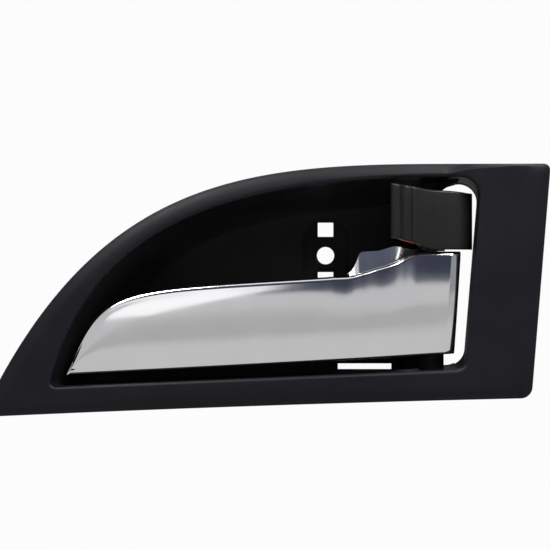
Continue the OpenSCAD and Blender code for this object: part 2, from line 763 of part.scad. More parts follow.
// Peg under the lever's arm that the return spring pushes on
peg_r = 1.2;
peg_reach = 11;
module spring_peg() {
    translate([pin_x, pin_y, 0])
        rotate([0, 0, -lever_arm_a])
            translate([-coil_r + wire_d / 2 + peg_r + 0.1, peg_reach, spring_top - wire_d])
                cylinder(r = peg_r, h = release_arm_z - spring_top + wire_d);
}

// Return spring: two straight legs and a coil round the pin
spring_top = knuckle_low - wire_d / 2 - 0.4;
spring_low = low_knuckle_top + wire_d / 2 + 0.4;
top_leg_a = 90 - lever_arm_a;
low_leg_a = 128;
coil_first = low_leg_a - 90;
coil_last = top_leg_a + 90 - 360 * coil_turns;
coil_n = 14 * coil_turns;
function polar(r, a) = [r * cos(a), r * sin(a)];
spring_path = concat(
    [concat(polar(coil_r, coil_first) + polar(18, low_leg_a), spring_low)],
    [for (i = [0 : coil_n])
        let(s = i / coil_n)
        concat(polar(coil_r, lerp(coil_first, coil_last, s)), lerp(spring_low, spring_top, s))],
    [concat(polar(coil_r, coil_last) + polar(peg_reach + 3, top_leg_a), spring_top)]
);
wire_sides = 8;

// Ring of wire round point i of a path
function wire_ring(path, i) =
    let(
        before = path[max(i - 1, 0)],
        after = path[min(i + 1, len(path) - 1)],
        along = unit(after - before),
        right = unit(cross(along, [0, 0, 1])),
        up = cross(right, along)
    )
    [for (k = [0 : wire_sides - 1])
        let(a = -360 * k / wire_sides)
        path[i] + wire_d / 2 * (cos(a) * right + sin(a) * up)];

module lever_spring() color([0.55, 0.55, 0.57])
    translate([pin_x, pin_y, 0])
        loft([for (i = [0 : len(spring_path) - 1]) wire_ring(spring_path, i)]);

// Lock knob in plan, from the pin: front point and back point of each station
knob_stations = [
    [[-14.6, -14.3], [-14.4, -13.3]], [[-14, -15.4], [-13.6, -12.4]],
    [[-12.8, -16], [-12.3, -11.7]], [[-11.6, -15.6], [-11.2, -11.3]],
    [[-10.6, -14.3], [-10.1, -10.9]], [[-9.4, -13.5], [-9, -10.5]],
    [[-8, -13.4], [-7.8, -10]], [[-7, -14.1], [-6.9, -9.4]],
    [[-6.2, -14], [-6.2, -8.4]], [[-4.3, -13], [-5.5, -6]],
    [[-2, -11.9], [-5.1, -2.5]], [[1.2, -10.5], [-4.4, 1.6]],
    [[4.2, -9.8], [-2, 4.4]], [[7.4, -9.2], [2, 5.2]],
    [[10.3, -7.9], [6.2, 4.8]], [[12.5, -5.6], [10, 3.4]], [[13.5, -3], [12.4, 1.4]],
    [[13.7, -1.4], [13.6, -0.2]]
];
function knob_lift(x) = knob_sweep * smooth((1 - x) / 17);
function knob_rise(x) = knob_crown * max(0, 1 - pow(x / 12, 2));
function knob_drop(x) = knob_skirt * smooth((x + 5) / 7);

// Round-edged upright section of the knob between its front and back points
function knob_section(s) =
    let(
        f = s[0],
        b = s[1],
        w = norm(b - f),
        r = min(knob_round, w / 3),
        z0 = hub_low + knob_lift(f[0]),
        z1 = hub_top + knob_lift(f[0]),
        rise = knob_rise(f[0]),
        drop = knob_drop(f[0]),
        round_pts = [[0, 1], [0.3, 0.3], [1, 0]]
    )
    [for (p = concat(
        [for (q = round_pts) [w - r * q[0], z1 - rise - r * q[1]]],
        [for (q = round_pts) [r * q[1], z1 + rise - r * q[0]]],
        [for (q = round_pts) [r * q[0], z0 - drop + r * q[1]]],
        [for (q = round_pts) [w - r * q[1], z0 + r * q[0]]]
    )) concat(lerp(f, b, p[0] / w) + [pin_x, pin_y], p[1])];

module lock_knob() color([0.12, 0.12, 0.12]) {
    difference() {
        union() {
            loft([for (s = knob_stations) knob_section(s)]);
            cable_arm(knob_arm_a, lock_cable_z);
        }
        hinge_bore(hub_low - 1, hub_top + 1);
        translate([pin_x, pin_y, hub_low - 1]) cylinder(r = hub_r, h = 1);
        marker_block(0.02, 1);
    }
}

// Red insert in the underside of the knob's blade
marker_l = 5.2;
marker_w = 1.2;
marker_t = 1.4;
module marker_block(fit, over) {
    x = -9.2;
    slope = atan2(knob_lift(x - 1) - knob_lift(x + 1), 2);
    translate([pin_x + x, pin_y - 11.9, hub_low + knob_lift(x) - 0.1])
        rotate([0, slope, 12])
            translate([-marker_l / 2 - fit, -marker_w / 2 - fit, -over])
                cube([marker_l + 2 * fit, marker_w + 2 * fit, marker_t + over + fit]);
}
module lock_marker() color([0.75, 0.08, 0.06]) marker_block(0, 0);

// Leaf spring that clicks the knob's arm into its two places
leaf_t = 0.5;
module lock_detent_spring() color([0.6, 0.6, 0.62]) {
    x0 = window_left + 0.3;
    bend = pin_x - arm_w / 2 - 12 * sin(knob_travel / 2) - 1;
    prism_z([
        [x0, collar_back], [x0, 0], [x0 + leaf_t, -0.4], [bend, 1.6], [bend - 0.3, 2.4],
        [x0 + 1.6, 4.4], [x0 + 1.4, 4.4 - leaf_t], [bend - 1, 2], [x0 + leaf_t, 0.3],
        [x0 + leaf_t, collar_back]
    ], lock_cable_z - 3, lock_cable_z + 3);
}

module hinge_pin() color([0.68, 0.68, 0.7])
    translate([pin_x, pin_y, 0]) {
        translate([0, 0, pin_end_z]) cylinder(r = pin_d / 2, h = top_lug_z - pin_end_z);
        translate([0, 0, top_lug_z]) cylinder(r = pin_d / 2 + 1, h = pin_head_t);
    }

module pin_ring() color([0.5, 0.5, 0.52])
    translate([pin_x, pin_y, low_lug_z - 0.9])
        difference() {
            cylinder(r = lug_r - 0.4, h = 0.8);
            translate([0, 0, -1]) cylinder(r = pin_d / 2 + 0.02, h = 3);
        }

module hub_washer() color([0.85, 0.84, 0.8])
    translate([pin_x, pin_y, knuckle_top + side_gap])
        difference() {
            cylinder(r = hub_r - 0.4, h = washer_t);
            translate([0, 0, -1]) cylinder(r = pin_d / 2 + pin_fit, h = washer_t + 2);
        }

// Rubber bumpers: one on a post behind the lever, one in the collar where its arm ends up
bumper_r = 3;
stem_r = 1.2;
post_x = 16;
post_z = -25;
post_y = plate_back(post_x) + 3.5;
rest_gap = 0.3;
stop_y = 3;
stop_r = 2.2;
stop_t = 0.85;
module bumper_post() {
    translate([post_x, 0, post_z]) bar_y(bumper_r + 0.8, post_y, floor_y + wall / 2);
}
module bumper_sockets() {
    translate([post_x, 0, post_z]) bar_y(stem_r + 0.02, post_y - 1, floor_y - 3);
    translate([0, stop_y, release_arm_z])
        bar_x(stem_r + 0.02, window_left - wall - 2, window_left + 1);
}
module rest_bumper() color([0.15, 0.15, 0.15])
    translate([post_x, 0, post_z]) {
        bar_y(bumper_r, plate_back(post_x) + rest_gap, post_y - 0.02);
        bar_y(stem_r, post_y - 0.1, floor_y - 4);
    }
module travel_bumper() color([0.15, 0.15, 0.15])
    translate([0, stop_y, release_arm_z]) {
        bar_x(stop_r, window_left + 0.02, window_left + stop_t);
        bar_x(stem_r, window_left - wall - 0.6, window_left + 0.1);
    }

// Bush in the eye of an arm, for the nipple of a cable
module cable_bush(a, z) {
    translate([pin_x, pin_y, z])
        rotate([0, 0, -a])
            translate([0, arm_l, 0])
                difference() {
                    union() {
                        translate([0, 0, -arm_t / 2 - 0.6]) cylinder(r = bush_r, h = arm_t + 1.2);
                        translate([0, 0, arm_t / 2 + 0.02]) cylinder(r = bush_r + 1.2, h = 0.9);
                    }
                    translate([0, 0, -arm_t]) cylinder(r = 1, h = 2 * arm_t);
                }
}
module release_cable_bush() color([0.9, 0.9, 0.86]) cable_bush(lever_arm_a, release_arm_z);
module lock_cable_bush() color([0.9, 0.9, 0.86]) cable_bush(knob_arm_a, lock_cable_z);

// Folded steel clip over a blade: two leaves, a bend and two barbs
clip_t = 0.5;
clip_w = 7;
clip_gap = 0.05;
clip_barb = 1.3;
module panel_clip() {
    half = blade_t / 2 + clip_gap;
    leaf = [
        [0.3 + clip_t, half + clip_t], [-1, half + clip_t], [-6, half + clip_barb],
        [-9.4, half + clip_t], [-10.4, half + 1.1], [-10.8, half + 0.7], [-9.8, half], [0.3, half]
    ];
    mirrored = [for (i = [len(leaf) - 1 : -1 : 0]) [leaf[i][0], -leaf[i][1]]];
    prism_x(concat(leaf, mirrored), -clip_w / 2, clip_w / 2);
}
module foot_clip(x) {
    translate([x, blade_back, foot_mid_z(x)]) panel_clip();
}
module panel_clip_left() color([0.7, 0.68, 0.55]) foot_clip(clip_left_x);
module panel_clip_middle() color([0.7, 0.68, 0.55]) foot_clip(clip_middle_x);
module panel_clip_right() color([0.7, 0.68, 0.55])
    translate([blade_right_x - 3, blade_back, clip_right_z]) rotate([0, 90, 0]) panel_clip();

// Foam pads that keep the bezel quiet on the door panel
pad_t = 1.8;
pad_w = 4;
pad_lie = 0.05;
module foam_pad(points) {
    back = front_y + wall + pad_lie;
    prism_y(points, back, back + pad_t);
}
module foam_pad_left() color([0.25, 0.25, 0.26]) {
    near = grow(mouth_ring, wall + 1);
    far = grow(mouth_ring, wall + 1 + pad_w);
    span = [for (i = [tip_steps + 1 : tip_steps + 5]) i];
    foam_pad(concat([for (i = span) near[i]], [for (k = [len(span) - 1 : -1 : 0]) far[span[k]]]));
}
module foam_pad_right() color([0.25, 0.25, 0.26]) {
    low = -18;
    high = 22;
    foam_pad([for (q = [[low, 0], [high, 0], [high, 1 - pad_w], [low, 1 - pad_w]])
        [z_between([bezel_heel[1], bezel_heel[0]], [bezel_head[1], bezel_head[0]], q[0])
            - rim_t - 1 + q[1], q[0]]]);
}

housing();
lever_cover();
lever_carrier();
cover_screws();
lever_spring();
lock_knob();
lock_marker();
lock_detent_spring();
hinge_pin();
pin_ring();
hub_washer();
rest_bumper();
travel_bumper();
cable_bracket();
release_cable_bush();
lock_cable_bush();
panel_clip_left();
panel_clip_middle();
panel_clip_right();
foam_pad_left();
foam_pad_right();
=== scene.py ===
"""Looks of a car's interior door handle: grained bezel and cup, chrome lever, lock knob."""
import json
import math

import bmesh
import bpy
import numpy as np
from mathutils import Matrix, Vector


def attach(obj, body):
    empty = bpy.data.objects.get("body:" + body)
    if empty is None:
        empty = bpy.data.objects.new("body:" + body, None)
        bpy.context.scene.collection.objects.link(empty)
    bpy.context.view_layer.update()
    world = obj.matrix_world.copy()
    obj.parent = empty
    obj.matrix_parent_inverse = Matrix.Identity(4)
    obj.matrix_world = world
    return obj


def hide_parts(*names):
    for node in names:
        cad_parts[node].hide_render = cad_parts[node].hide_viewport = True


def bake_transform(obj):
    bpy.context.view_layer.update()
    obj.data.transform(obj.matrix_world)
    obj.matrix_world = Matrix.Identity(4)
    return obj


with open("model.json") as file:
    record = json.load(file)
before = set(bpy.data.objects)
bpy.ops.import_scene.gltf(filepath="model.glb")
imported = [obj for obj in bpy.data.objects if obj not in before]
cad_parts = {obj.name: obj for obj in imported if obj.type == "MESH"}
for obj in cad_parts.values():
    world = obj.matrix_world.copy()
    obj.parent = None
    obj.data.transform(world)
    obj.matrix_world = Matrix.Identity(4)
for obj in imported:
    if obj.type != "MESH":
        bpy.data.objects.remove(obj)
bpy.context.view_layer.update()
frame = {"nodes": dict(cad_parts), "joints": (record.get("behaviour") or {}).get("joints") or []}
nodes = frame["nodes"]
HOUSING_BODY, LEVER_BODY, KNOB_BODY = "housing_body", "lever_body", "knob_body"

# All sizes below are in millimetres, in the frame of the part
MM = 0.001
PIN_X, PIN_Y = [v / MM for v in frame["joints"][0]["pos_m"][:2]]

# Cup and bezel
CUP_LEFT, CUP_RIGHT, CUP_LEAN = 92.7, 51.2, 5.1
CUP_TOP, CUP_FOOT, CUP_FOOT_DROP = 26.0, 38.2, 5.9
FRONT_Y, FLOOR_Y = -26.0, -2.5
WALL = 2.0
BEZEL_LEFT, BEZEL_TOP, BEZEL_RIGHT = 23.3, 4.6, 23.6
BEZEL_FOOT, BEZEL_FOOT_GROW, BEZEL_LEAN, BEZEL_BOW = 9.7, 0.4, 1.3, 0.5
RIM_DEPTH, RIM_T = 6.0, 1.5
CROWN_FALL, CROWN_W = 2.2, 8.0
EDGE_ROUND, MOUTH_ROUND = 0.8, 1.2
SLOPE_TOP, SLOPE_LEFT, HINGE_FLARE, WALL_DRAFT = 10.6, 16.2, 1.9, 0.3
RIM_BACK_Y = FRONT_Y + RIM_DEPTH
WALL_CURVE = [(1, 1), (0.9, 0.985), (0.74, 0.92), (0.5, 0.76), (0.25, 0.46), (0.09, 0.2), (0, 0)]

# Fixing holes and windows
SCREW_R = 3.0
SEAT_R, SEAT_REACH = 8.0, 4.6
WINDOW_W, WINDOW_H, WINDOW_RISE, WINDOW_DROP = 5.4, 4.9, 6.5, 5.7
SLOT_X, SLOT_L, SLOT_H, SLOT_GAP = 13.4, 18.5, 2.0, 0.2
WINDOW_LEFT, WINDOW_LIP = PIN_X - 9.5, 0.15
COLLAR_BACK, COLLAR_SIDE_BACK = 6.0, FLOOR_Y + WALL + 1
TONGUE_X, TONGUE_LOW, TONGUE_TOP, TONGUE_H = PIN_X - 2, -6.5, 7.5, 5.6

# Hinge stack, from the top down
PIN_R, LUG_R, HUB_R, PIN_FIT, SIDE_GAP = 2.0, 4.2, 5.0, 0.05, 0.2
HUB_TOP = CUP_TOP - 5.2
HUB_LOW = HUB_TOP - 18.2
KNUCKLE_TOP = HUB_LOW - 1 - 2 * SIDE_GAP
KNUCKLE_LOW = KNUCKLE_TOP - 15.2
LOW_KNUCKLE_LOW = -CUP_FOOT + 5
LOW_KNUCKLE_TOP = LOW_KNUCKLE_LOW + 5.7
TOP_LUG_Z = CUP_TOP + 1.8
LOW_LUG_Z = -CUP_FOOT - 4.9

# Lever
LEVER_END_X = PIN_X + 9.5
LEVER_TIP_X = -CUP_LEFT + 5.1
LEVER_GAP_FOOT, LEVER_FOOT_RISE, LEVER_H, LEVER_LEAN = 3.5, 1.6, 28.2, 2.1
LEVER_FACE_Y = FRONT_Y + 2
LEVER_DEPTH, EAR_DEPTH, BEVEL_W = 6.5, 8.5, 3.2
LEVER_BOW, LEVER_BULGE, LEVER_ROLL, COVER_T = 1.6, 0.7, 1.6, 1.8
BEVEL_SLOPE, BEVEL_CURVE, BEVEL_TURN = 0.3, 0.04, 1.2
FLANK_SLOPE, CREASE_GAP = 0.42, 0.1
EAR_Z = KNUCKLE_TOP

# Lock knob and cable arms
KNOB_SWEEP, KNOB_CROWN, KNOB_SKIRT, KNOB_ROUND, KNOB_TRAVEL = 3.1, 0.9, 0.8, 0.8, 18.0
ARM_L, ARM_T, ARM_W, EYE_R, BUSH_R = 26.0, 4.0, 6.0, 3.8, 2.0
LEVER_ARM_A = 12.0
LOCK_CABLE_Z = 12.0

# Cable bracket, clip blades, ribs, hooks and post behind the bezel
BRACKET_T = 1.6
STAKE_X, STAKE_Z, STAKE_R = 58.25, (-11.0, 12.0), 1.5
FOOT_Y = FRONT_Y + 0.7 * WALL
BLADE_T, BLADE_W, BLADE_BACK = 2.0, 9.0, FRONT_Y + 18
CLIP_X, CLIP_Z = (-66.0, -8.0), -30.0
CLIP_RIGHT_X = CUP_RIGHT + BEZEL_RIGHT * 0.6 - 3
RIB_T = 1.6
RIM_RIB_SHARES = ("tip", 8 / 26, 11 / 26, 14 / 26)
FOOT_RIB_X = (-44, -26, 14, 32)
HOOK_X, HOOK_W, HOOK_RISE = (-34, 4), 8.0, 1.8
POST_X, POST_Z, POST_R = 16.0, -25.0, 3.8
COVER_FIT, PLATE_T, BUMPER_H = 0.1, 2.4, 3.5

# Return spring
WIRE_D, COIL_R, COIL_TURNS = 1.2, 3.3, 5

# Steps along each stretch of an outline
TIP_STEPS, CREST_STEPS, TOP_STEPS, CORNER_STEPS, SIDE_STEPS, FOOT_STEPS = 8, 110, 16, 12, 30, 56


# Curves and outlines

def unit(v):
    return v / np.linalg.norm(v)


def smooth(t):
    s = np.clip(t, 0, 1)
    return s * s * (3 - 2 * s)


def lerp(a, b, t):
    return a + (b - a) * t


def bezier(p, t):
    s = 1 - t
    return s**3 * p[0] + 3 * s * s * t * p[1] + 3 * s * t * t * p[2] + t**3 * p[3]


def through(xs, ys, at):
    """Smooth curve through the points, without overshoot."""
    xs, ys, at = np.array(xs, float), np.array(ys, float), np.array(at, float)
    h = np.diff(xs)
    d = np.diff(ys) / h
    m = np.zeros(len(xs))
    m[0], m[-1] = d[0], d[-1]
    for i in range(1, len(xs) - 1):
        if d[i - 1] * d[i] > 0:
            w1, w2 = 2 * h[i] + h[i - 1], h[i] + 2 * h[i - 1]
            m[i] = (w1 + w2) / (w1 / d[i - 1] + w2 / d[i])
    k = np.clip(np.searchsorted(xs, at) - 1, 0, len(h) - 1)
    t = (at - xs[k]) / h[k]
    return (
        ys[k] * (1 + 2 * t) * (1 - t) ** 2
        + h[k] * m[k] * t * (1 - t) ** 2
        + ys[k + 1] * t * t * (3 - 2 * t)
        + h[k] * m[k + 1] * t * t * (t - 1)
    )


def z_between(a, b, x):
    return lerp(a[1], b[1], (x - a[0]) / (b[0] - a[0]))


def corner(a, p, b, r, n):
    """Points of a round corner at p between neighbours a and b, walked clockwise."""
    u, v = unit(a - p), unit(b - p)
    half = math.acos(float(u @ v)) / 2
    centre = p + unit(u + v) * r / math.sin(half)
    start = p + u * r / math.tan(half) - centre
    first, sweep = math.atan2(start[1], start[0]), math.pi - 2 * half
    angles = [first - sweep * i / n for i in range(n + 1)]
    return [centre + r * np.array([math.cos(q), math.sin(q)]) for q in angles]


def part_way(a, b, shares):
    """Point at the shares of the way from a to b, along X and along Z."""
    return np.array([lerp(a[0], b[0], shares[0]), lerp(a[1], b[1], shares[1])])


def outline(tip, shares, crest_end, head, heel, radii, bow):
    """Closed outline in X and Z, clockwise from the left tip."""
    tip, crest_end, head, heel = (np.array(p, float) for p in (tip, crest_end, head, heel))
    lead, reach = (part_way(tip, crest_end, q) for q in shares)
    toe = corner(heel, tip, lead, radii[0], TIP_STEPS)
    head_arc = corner(crest_end, head, heel, radii[1], CORNER_STEPS)
    heel_arc = corner(head, heel, tip, radii[2], CORNER_STEPS)
    crest = [toe[-1], lead, reach, crest_end]
    ring = list(toe)
    ring += [bezier(crest, i / CREST_STEPS) for i in range(1, CREST_STEPS + 1)]
    ring += [lerp(crest_end, head_arc[0], i / (TOP_STEPS + 1)) for i in range(1, TOP_STEPS + 1)]
    ring += head_arc
    side = range(1, SIDE_STEPS + 1)
    ring += [lerp(head_arc[-1], heel_arc[0], i / (SIDE_STEPS + 1)) for i in side]
    ring += heel_arc
    for i in range(1, FOOT_STEPS + 1):
        s = i / (FOOT_STEPS + 1)
        ring.append(lerp(heel_arc[-1], toe[0], s) + np.array([0, 4 * bow * s * (1 - s)]))
    return np.array(ring)


def grow(ring, d):
    """The outline moved outwards by d, or inwards where d is negative."""
    along = np.roll(ring, -1, 0) - np.roll(ring, 1, 0)
    along /= np.linalg.norm(along, axis=1)[:, None]
    return ring + np.stack([-along[:, 1], along[:, 0]], 1) * np.reshape(d, (-1, 1))


def at_depth(ring, y):
    """A flat outline placed at one depth, or at a depth of its own for each point."""
    return np.stack([ring[:, 0], np.broadcast_to(y, len(ring)), ring[:, 1]], 1)


def arc(centre, r, first, last, n):
    """Points on an arc, angles in degrees."""
    angles = np.radians(np.linspace(first, last, n + 1))
    return [(centre[0] + r * math.cos(q), centre[1] + r * math.sin(q)) for q in angles]


# Meshes

def mesh_object(name, points, faces, sharp=35):
    """Object from points in millimetres and faces, smooth but for edges over sharp degrees."""
    mesh = bpy.data.meshes.new(name)
    mesh.from_pydata([tuple(p) for p in np.array(points, float) * MM], [], faces)
    mesh.update()
    b = bmesh.new()
    b.from_mesh(mesh)
    bmesh.ops.recalc_face_normals(b, faces=b.faces)
    b.to_mesh(mesh)
    b.free()
    obj = bpy.data.objects.new(name, mesh)
    bpy.context.scene.collection.objects.link(obj)
    shade(obj, sharp)
    return obj


def shade(obj, sharp):
    obj.data.shade_smooth()
    obj.data.set_sharp_from_angle(angle=math.radians(sharp))


def loft(name, rings, sharp=35):
    """Solid between closed rings of equally many points, with flat ends."""
    n = len(rings[0])
    faces = []
    for k in range(len(rings) - 1):
        for i in range(n):
            j = (i + 1) % n
            faces.append((k * n + i, k * n + j, (k + 1) * n + j, (k + 1) * n + i))
    faces.append(tuple(range(n)))
    faces.append(tuple(reversed(range((len(rings) - 1) * n, len(rings) * n))))
    return mesh_object(name, np.concatenate(rings), faces, sharp)


def on_axis(p, h, axis):
    """Point at the height h along the axis, with p in the other two directions."""
    return {"x": (h, p[0], p[1]), "y": (p[0], h, p[1]), "z": (p[0], p[1], h)}[axis]


def prism(name, points, low, high, axis="y"):
    """Prism on an outline in the other two directions, from low to high along axis."""
    rings = [np.array([on_axis(p, h, axis) for p in points], float) for h in (low, high)]
    return loft(name, rings)


def block(name, low, high):
    outline_xz = [(low[0], low[2]), (low[0], high[2]), (high[0], high[2]), (high[0], low[2])]
    return prism(name, outline_xz, low[1], high[1])


def bar(name, centre, r, low, high, axis="y", n=48):
    return prism(name, arc(centre, r, 0, 360 - 360 / n, n - 1), low, high, axis)


def tube(name, outer, inner, low, high, axis="y"):
    """Prism with a hole, between two outlines of equally many points."""
    n = len(outer)
    rings = [(outer, low), (outer, high), (inner, high), (inner, low)]
    points = [on_axis(p, h, axis) for ring, h in rings for p in ring]
    faces = []
    for k in range(4):
        for i in range(n):
            j, m = (i + 1) % n, (k + 1) % 4
            faces.append((k * n + i, k * n + j, m * n + j, m * n + i))
    return mesh_object(name, points, faces)


def round_tube(name, centre, r_out, r_in, low, high, axis="z", n=48):
    outer = arc(centre, r_out, 0, 360 - 360 / n, n - 1)
    inner = arc(centre, r_in, 0, 360 - 360 / n, n - 1)
    return tube(name, outer, inner, low, high, axis)


def upright_slot(name, r, reach, low, high):
    ends = arc((0, reach), r, 0, 180, 32) + arc((0, -reach), r, 180, 360, 32)
    return prism(name, ends, low, high)


def drop(obj):
    mesh = obj.data
    bpy.data.objects.remove(obj)
    if mesh.users == 0:
        bpy.data.meshes.remove(mesh)


def bake(obj):
    """Applies the object's modifiers to its mesh."""
    graph = bpy.context.evaluated_depsgraph_get()
    mesh = bpy.data.meshes.new_from_object(obj.evaluated_get(graph))
    obj.modifiers.clear()
    obj.data = mesh


def carve(obj, *cutters, sharp=35):
    """Takes the cutters out of the object, one after the other."""
    for cutter in cutters:
        cut = obj.modifiers.new("cut", "BOOLEAN")
        cut.operation, cut.solver, cut.object = "DIFFERENCE", "EXACT", cutter
        bake(obj)
        drop(cutter)
    shade(obj, sharp)
    return obj


def soften(obj, width):
    """Rounds the object's sharp edges."""
    bevel = obj.modifiers.new("soften", "BEVEL")
    bevel.width, bevel.segments = width * MM, 2
    bevel.limit_method, bevel.angle_limit = "ANGLE", math.radians(40)
    bake(obj)
    return obj


def join(name, pieces, sharp=35):
    """One object from several, each a closed solid of its own."""
    b = bmesh.new()
    for piece in pieces:
        b.from_mesh(piece.data)
        drop(piece)
    mesh = bpy.data.meshes.new(name)
    b.to_mesh(mesh)
    b.free()
    obj = bpy.data.objects.new(name, mesh)
    bpy.context.scene.collection.objects.link(obj)
    shade(obj, sharp)
    return obj


# Housing: bezel, mouth and cup as one skin

MOUTH_TIP = (-CUP_LEFT, -CUP_FOOT - CUP_FOOT_DROP)
MOUTH_HEEL = (CUP_RIGHT - CUP_LEAN, -CUP_FOOT)
MOUTH_HEAD = (CUP_RIGHT, CUP_TOP)
BEZEL_TIP = (MOUTH_TIP[0] - BEZEL_LEFT, MOUTH_TIP[1] - BEZEL_FOOT - BEZEL_FOOT_GROW)
BEZEL_HEEL = (MOUTH_HEEL[0] + BEZEL_RIGHT - BEZEL_LEAN, MOUTH_HEEL[1] - BEZEL_FOOT)
BEZEL_HEAD = (MOUTH_HEAD[0] + BEZEL_RIGHT, MOUTH_HEAD[1] + BEZEL_TOP)
FLOOR_TIP = (MOUTH_TIP[0] + SLOPE_LEFT, MOUTH_TIP[1] + 3 * WALL_DRAFT)
FLOOR_HEEL = (MOUTH_HEEL[0] + HINGE_FLARE - WALL_DRAFT, MOUTH_HEEL[1] + WALL_DRAFT)
FLOOR_HEAD = (MOUTH_HEAD[0] + HINGE_FLARE, MOUTH_HEAD[1] + 1.1)
FLOOR_CREST_END = (13, CUP_TOP - SLOPE_TOP)

BEZEL_RING = outline(BEZEL_TIP, ((0.259, 0.953), (0.577, 0.999)), (38.6, BEZEL_HEAD[1] - 0.1),
                     BEZEL_HEAD, BEZEL_HEEL, (2.7, 2.2, 4), BEZEL_BOW)
MOUTH_RING = outline(MOUTH_TIP, ((0.112, 0.872), (0.553, 0.991)), (40, CUP_TOP),
                     MOUTH_HEAD, MOUTH_HEEL, (1.6, 6.4, 3.4), 0)
FLOOR_RING = outline(FLOOR_TIP, ((0.212, 0.829), (0.507, 0.913)), FLOOR_CREST_END,
                     FLOOR_HEAD, FLOOR_HEEL, (5, 6.4, 6.2), -0.2)


def face_y(d):
    """Front of the bezel at the distance d from its outer edge."""
    return FRONT_Y + CROWN_FALL * np.maximum(0, 1 - d / CROWN_W) ** 2


MOUTH_EDGE = grow(MOUTH_RING, MOUTH_ROUND)
BEZEL_WIDTH = np.linalg.norm(MOUTH_EDGE - BEZEL_RING, axis=1)
EDGE_Y = face_y(BEZEL_WIDTH)
# The bezel is hollow from behind where it is wide enough
UNDER_Y = lerp(RIM_BACK_Y - 0.4, FRONT_Y + WALL, smooth((BEZEL_WIDTH - 3.6) / 3))


def bezel_row(d, y):
    """Ring on the bezel, at the distance d from its outer edge."""
    share = (d / BEZEL_WIDTH)[:, None]
    return at_depth(lerp(BEZEL_RING, MOUTH_EDGE, share), y)


def wall_row(across, down, out=0, back=0):
    """Ring on the cup wall, at a share of its way across and a share of its way down."""
    y = lerp(EDGE_Y + MOUTH_ROUND, FLOOR_Y, down) + back
    return at_depth(grow(lerp(MOUTH_RING, FLOOR_RING, across), out), y)


def wall_steps(n):
    """Shares across and down along the cup wall's curve, from the floor up."""
    xs = [1 - p[0] for p in WALL_CURVE]
    at = np.linspace(0, 1, n) ** 0.8
    return zip(1 - at, through(xs, [p[1] for p in WALL_CURVE], at))


def housing_skin():
    rings = [wall_row(across, down) for across, down in wall_steps(26)]
    for a in np.radians([75, 60, 45, 30, 15]):
        y = EDGE_Y + MOUTH_ROUND * (1 - math.cos(a))
        rings.append(at_depth(grow(MOUTH_RING, MOUTH_ROUND * (1 - math.sin(a))), y))
    for s in np.linspace(1, 0, 13):
        d = lerp(EDGE_ROUND, BEZEL_WIDTH, s)
        rings.append(bezel_row(d, face_y(d)))
    for a in np.radians([22, 45, 67, 90]):
        d = np.full(len(BEZEL_WIDTH), EDGE_ROUND * (1 - math.sin(a)))
        rings.append(bezel_row(d, face_y(EDGE_ROUND) + EDGE_ROUND * (1 - math.cos(a))))
    rings.append(at_depth(grow(BEZEL_RING, 0), RIM_BACK_Y - 0.3))
    rings.append(at_depth(grow(BEZEL_RING, -0.3), RIM_BACK_Y))
    rings.append(at_depth(grow(BEZEL_RING, -RIM_T), RIM_BACK_Y))
    rings.append(at_depth(grow(BEZEL_RING, -RIM_T), UNDER_Y))
    rings.append(at_depth(grow(MOUTH_RING, WALL), UNDER_Y))
    for across, down in list(wall_steps(12))[::-1][2:-1]:
        rings.append(wall_row(across, down, WALL, 0.3))
    rings.append(at_depth(grow(FLOOR_RING, WALL * 0.6), FLOOR_Y + WALL))
    return loft("housing_skin", rings)


def hinge_window():
    """Outline of the window in the floor behind the hinge."""
    inner = grow(FLOOR_RING, -WINDOW_LIP)
    points = [tuple(p) for p in inner if p[0] > WINDOW_LEFT + 0.5]
    points.append((WINDOW_LEFT, z_between(FLOOR_HEEL, FLOOR_TIP, WINDOW_LEFT) + WINDOW_LIP))
    points.append((WINDOW_LEFT, z_between(FLOOR_CREST_END, FLOOR_HEAD, WINDOW_LEFT) - WINDOW_LIP))
    return np.array(points)


def seat_cutters():
    """Recess, screw hole and square windows of the screw seat."""
    half, back = WINDOW_W / 2, WALL + 1
    return [
        upright_slot("cut", SEAT_R, SEAT_REACH, FLOOR_Y - 1, 0),
        bar("cut", (0, 0), SCREW_R, -1, back, n=64),
        block("cut", (-half, -1, WINDOW_RISE), (half, back, WINDOW_RISE + WINDOW_H)),
        block("cut", (-half, -1, -WINDOW_DROP - WINDOW_H), (half, back, -WINDOW_DROP)),
    ]


def slot_cutter():
    """Slot in the bottom of the cup's floor."""
    z = z_between(FLOOR_HEEL, FLOOR_TIP, SLOT_X) + SLOT_GAP
    return block("cut", (SLOT_X - SLOT_L / 2, FLOOR_Y - 2, z),
                 (SLOT_X + SLOT_L / 2, WALL + 1, z + SLOT_H))


def foot_mid_z(x):
    """Height of the middle of the room behind the bezel's lower band."""
    inner = z_between(MOUTH_HEEL, MOUTH_TIP, x) - WALL
    return (inner + z_between(BEZEL_HEEL, BEZEL_TIP, x) + RIM_T + BEZEL_BOW) / 2


def stake_pieces():
    """Pins of the moulding whose melted heads hold the cable bracket's foot."""
    head_y = FRONT_Y + WALL + 0.1 + BRACKET_T
    pieces = []
    for z in STAKE_Z:
        pieces.append(bar("stake", (STAKE_X, z), STAKE_R, FRONT_Y + WALL / 2, head_y + 0.4))
        pieces.append(bar("stake", (STAKE_X, z), STAKE_R + 1.1, head_y, head_y + 0.9))
    return pieces


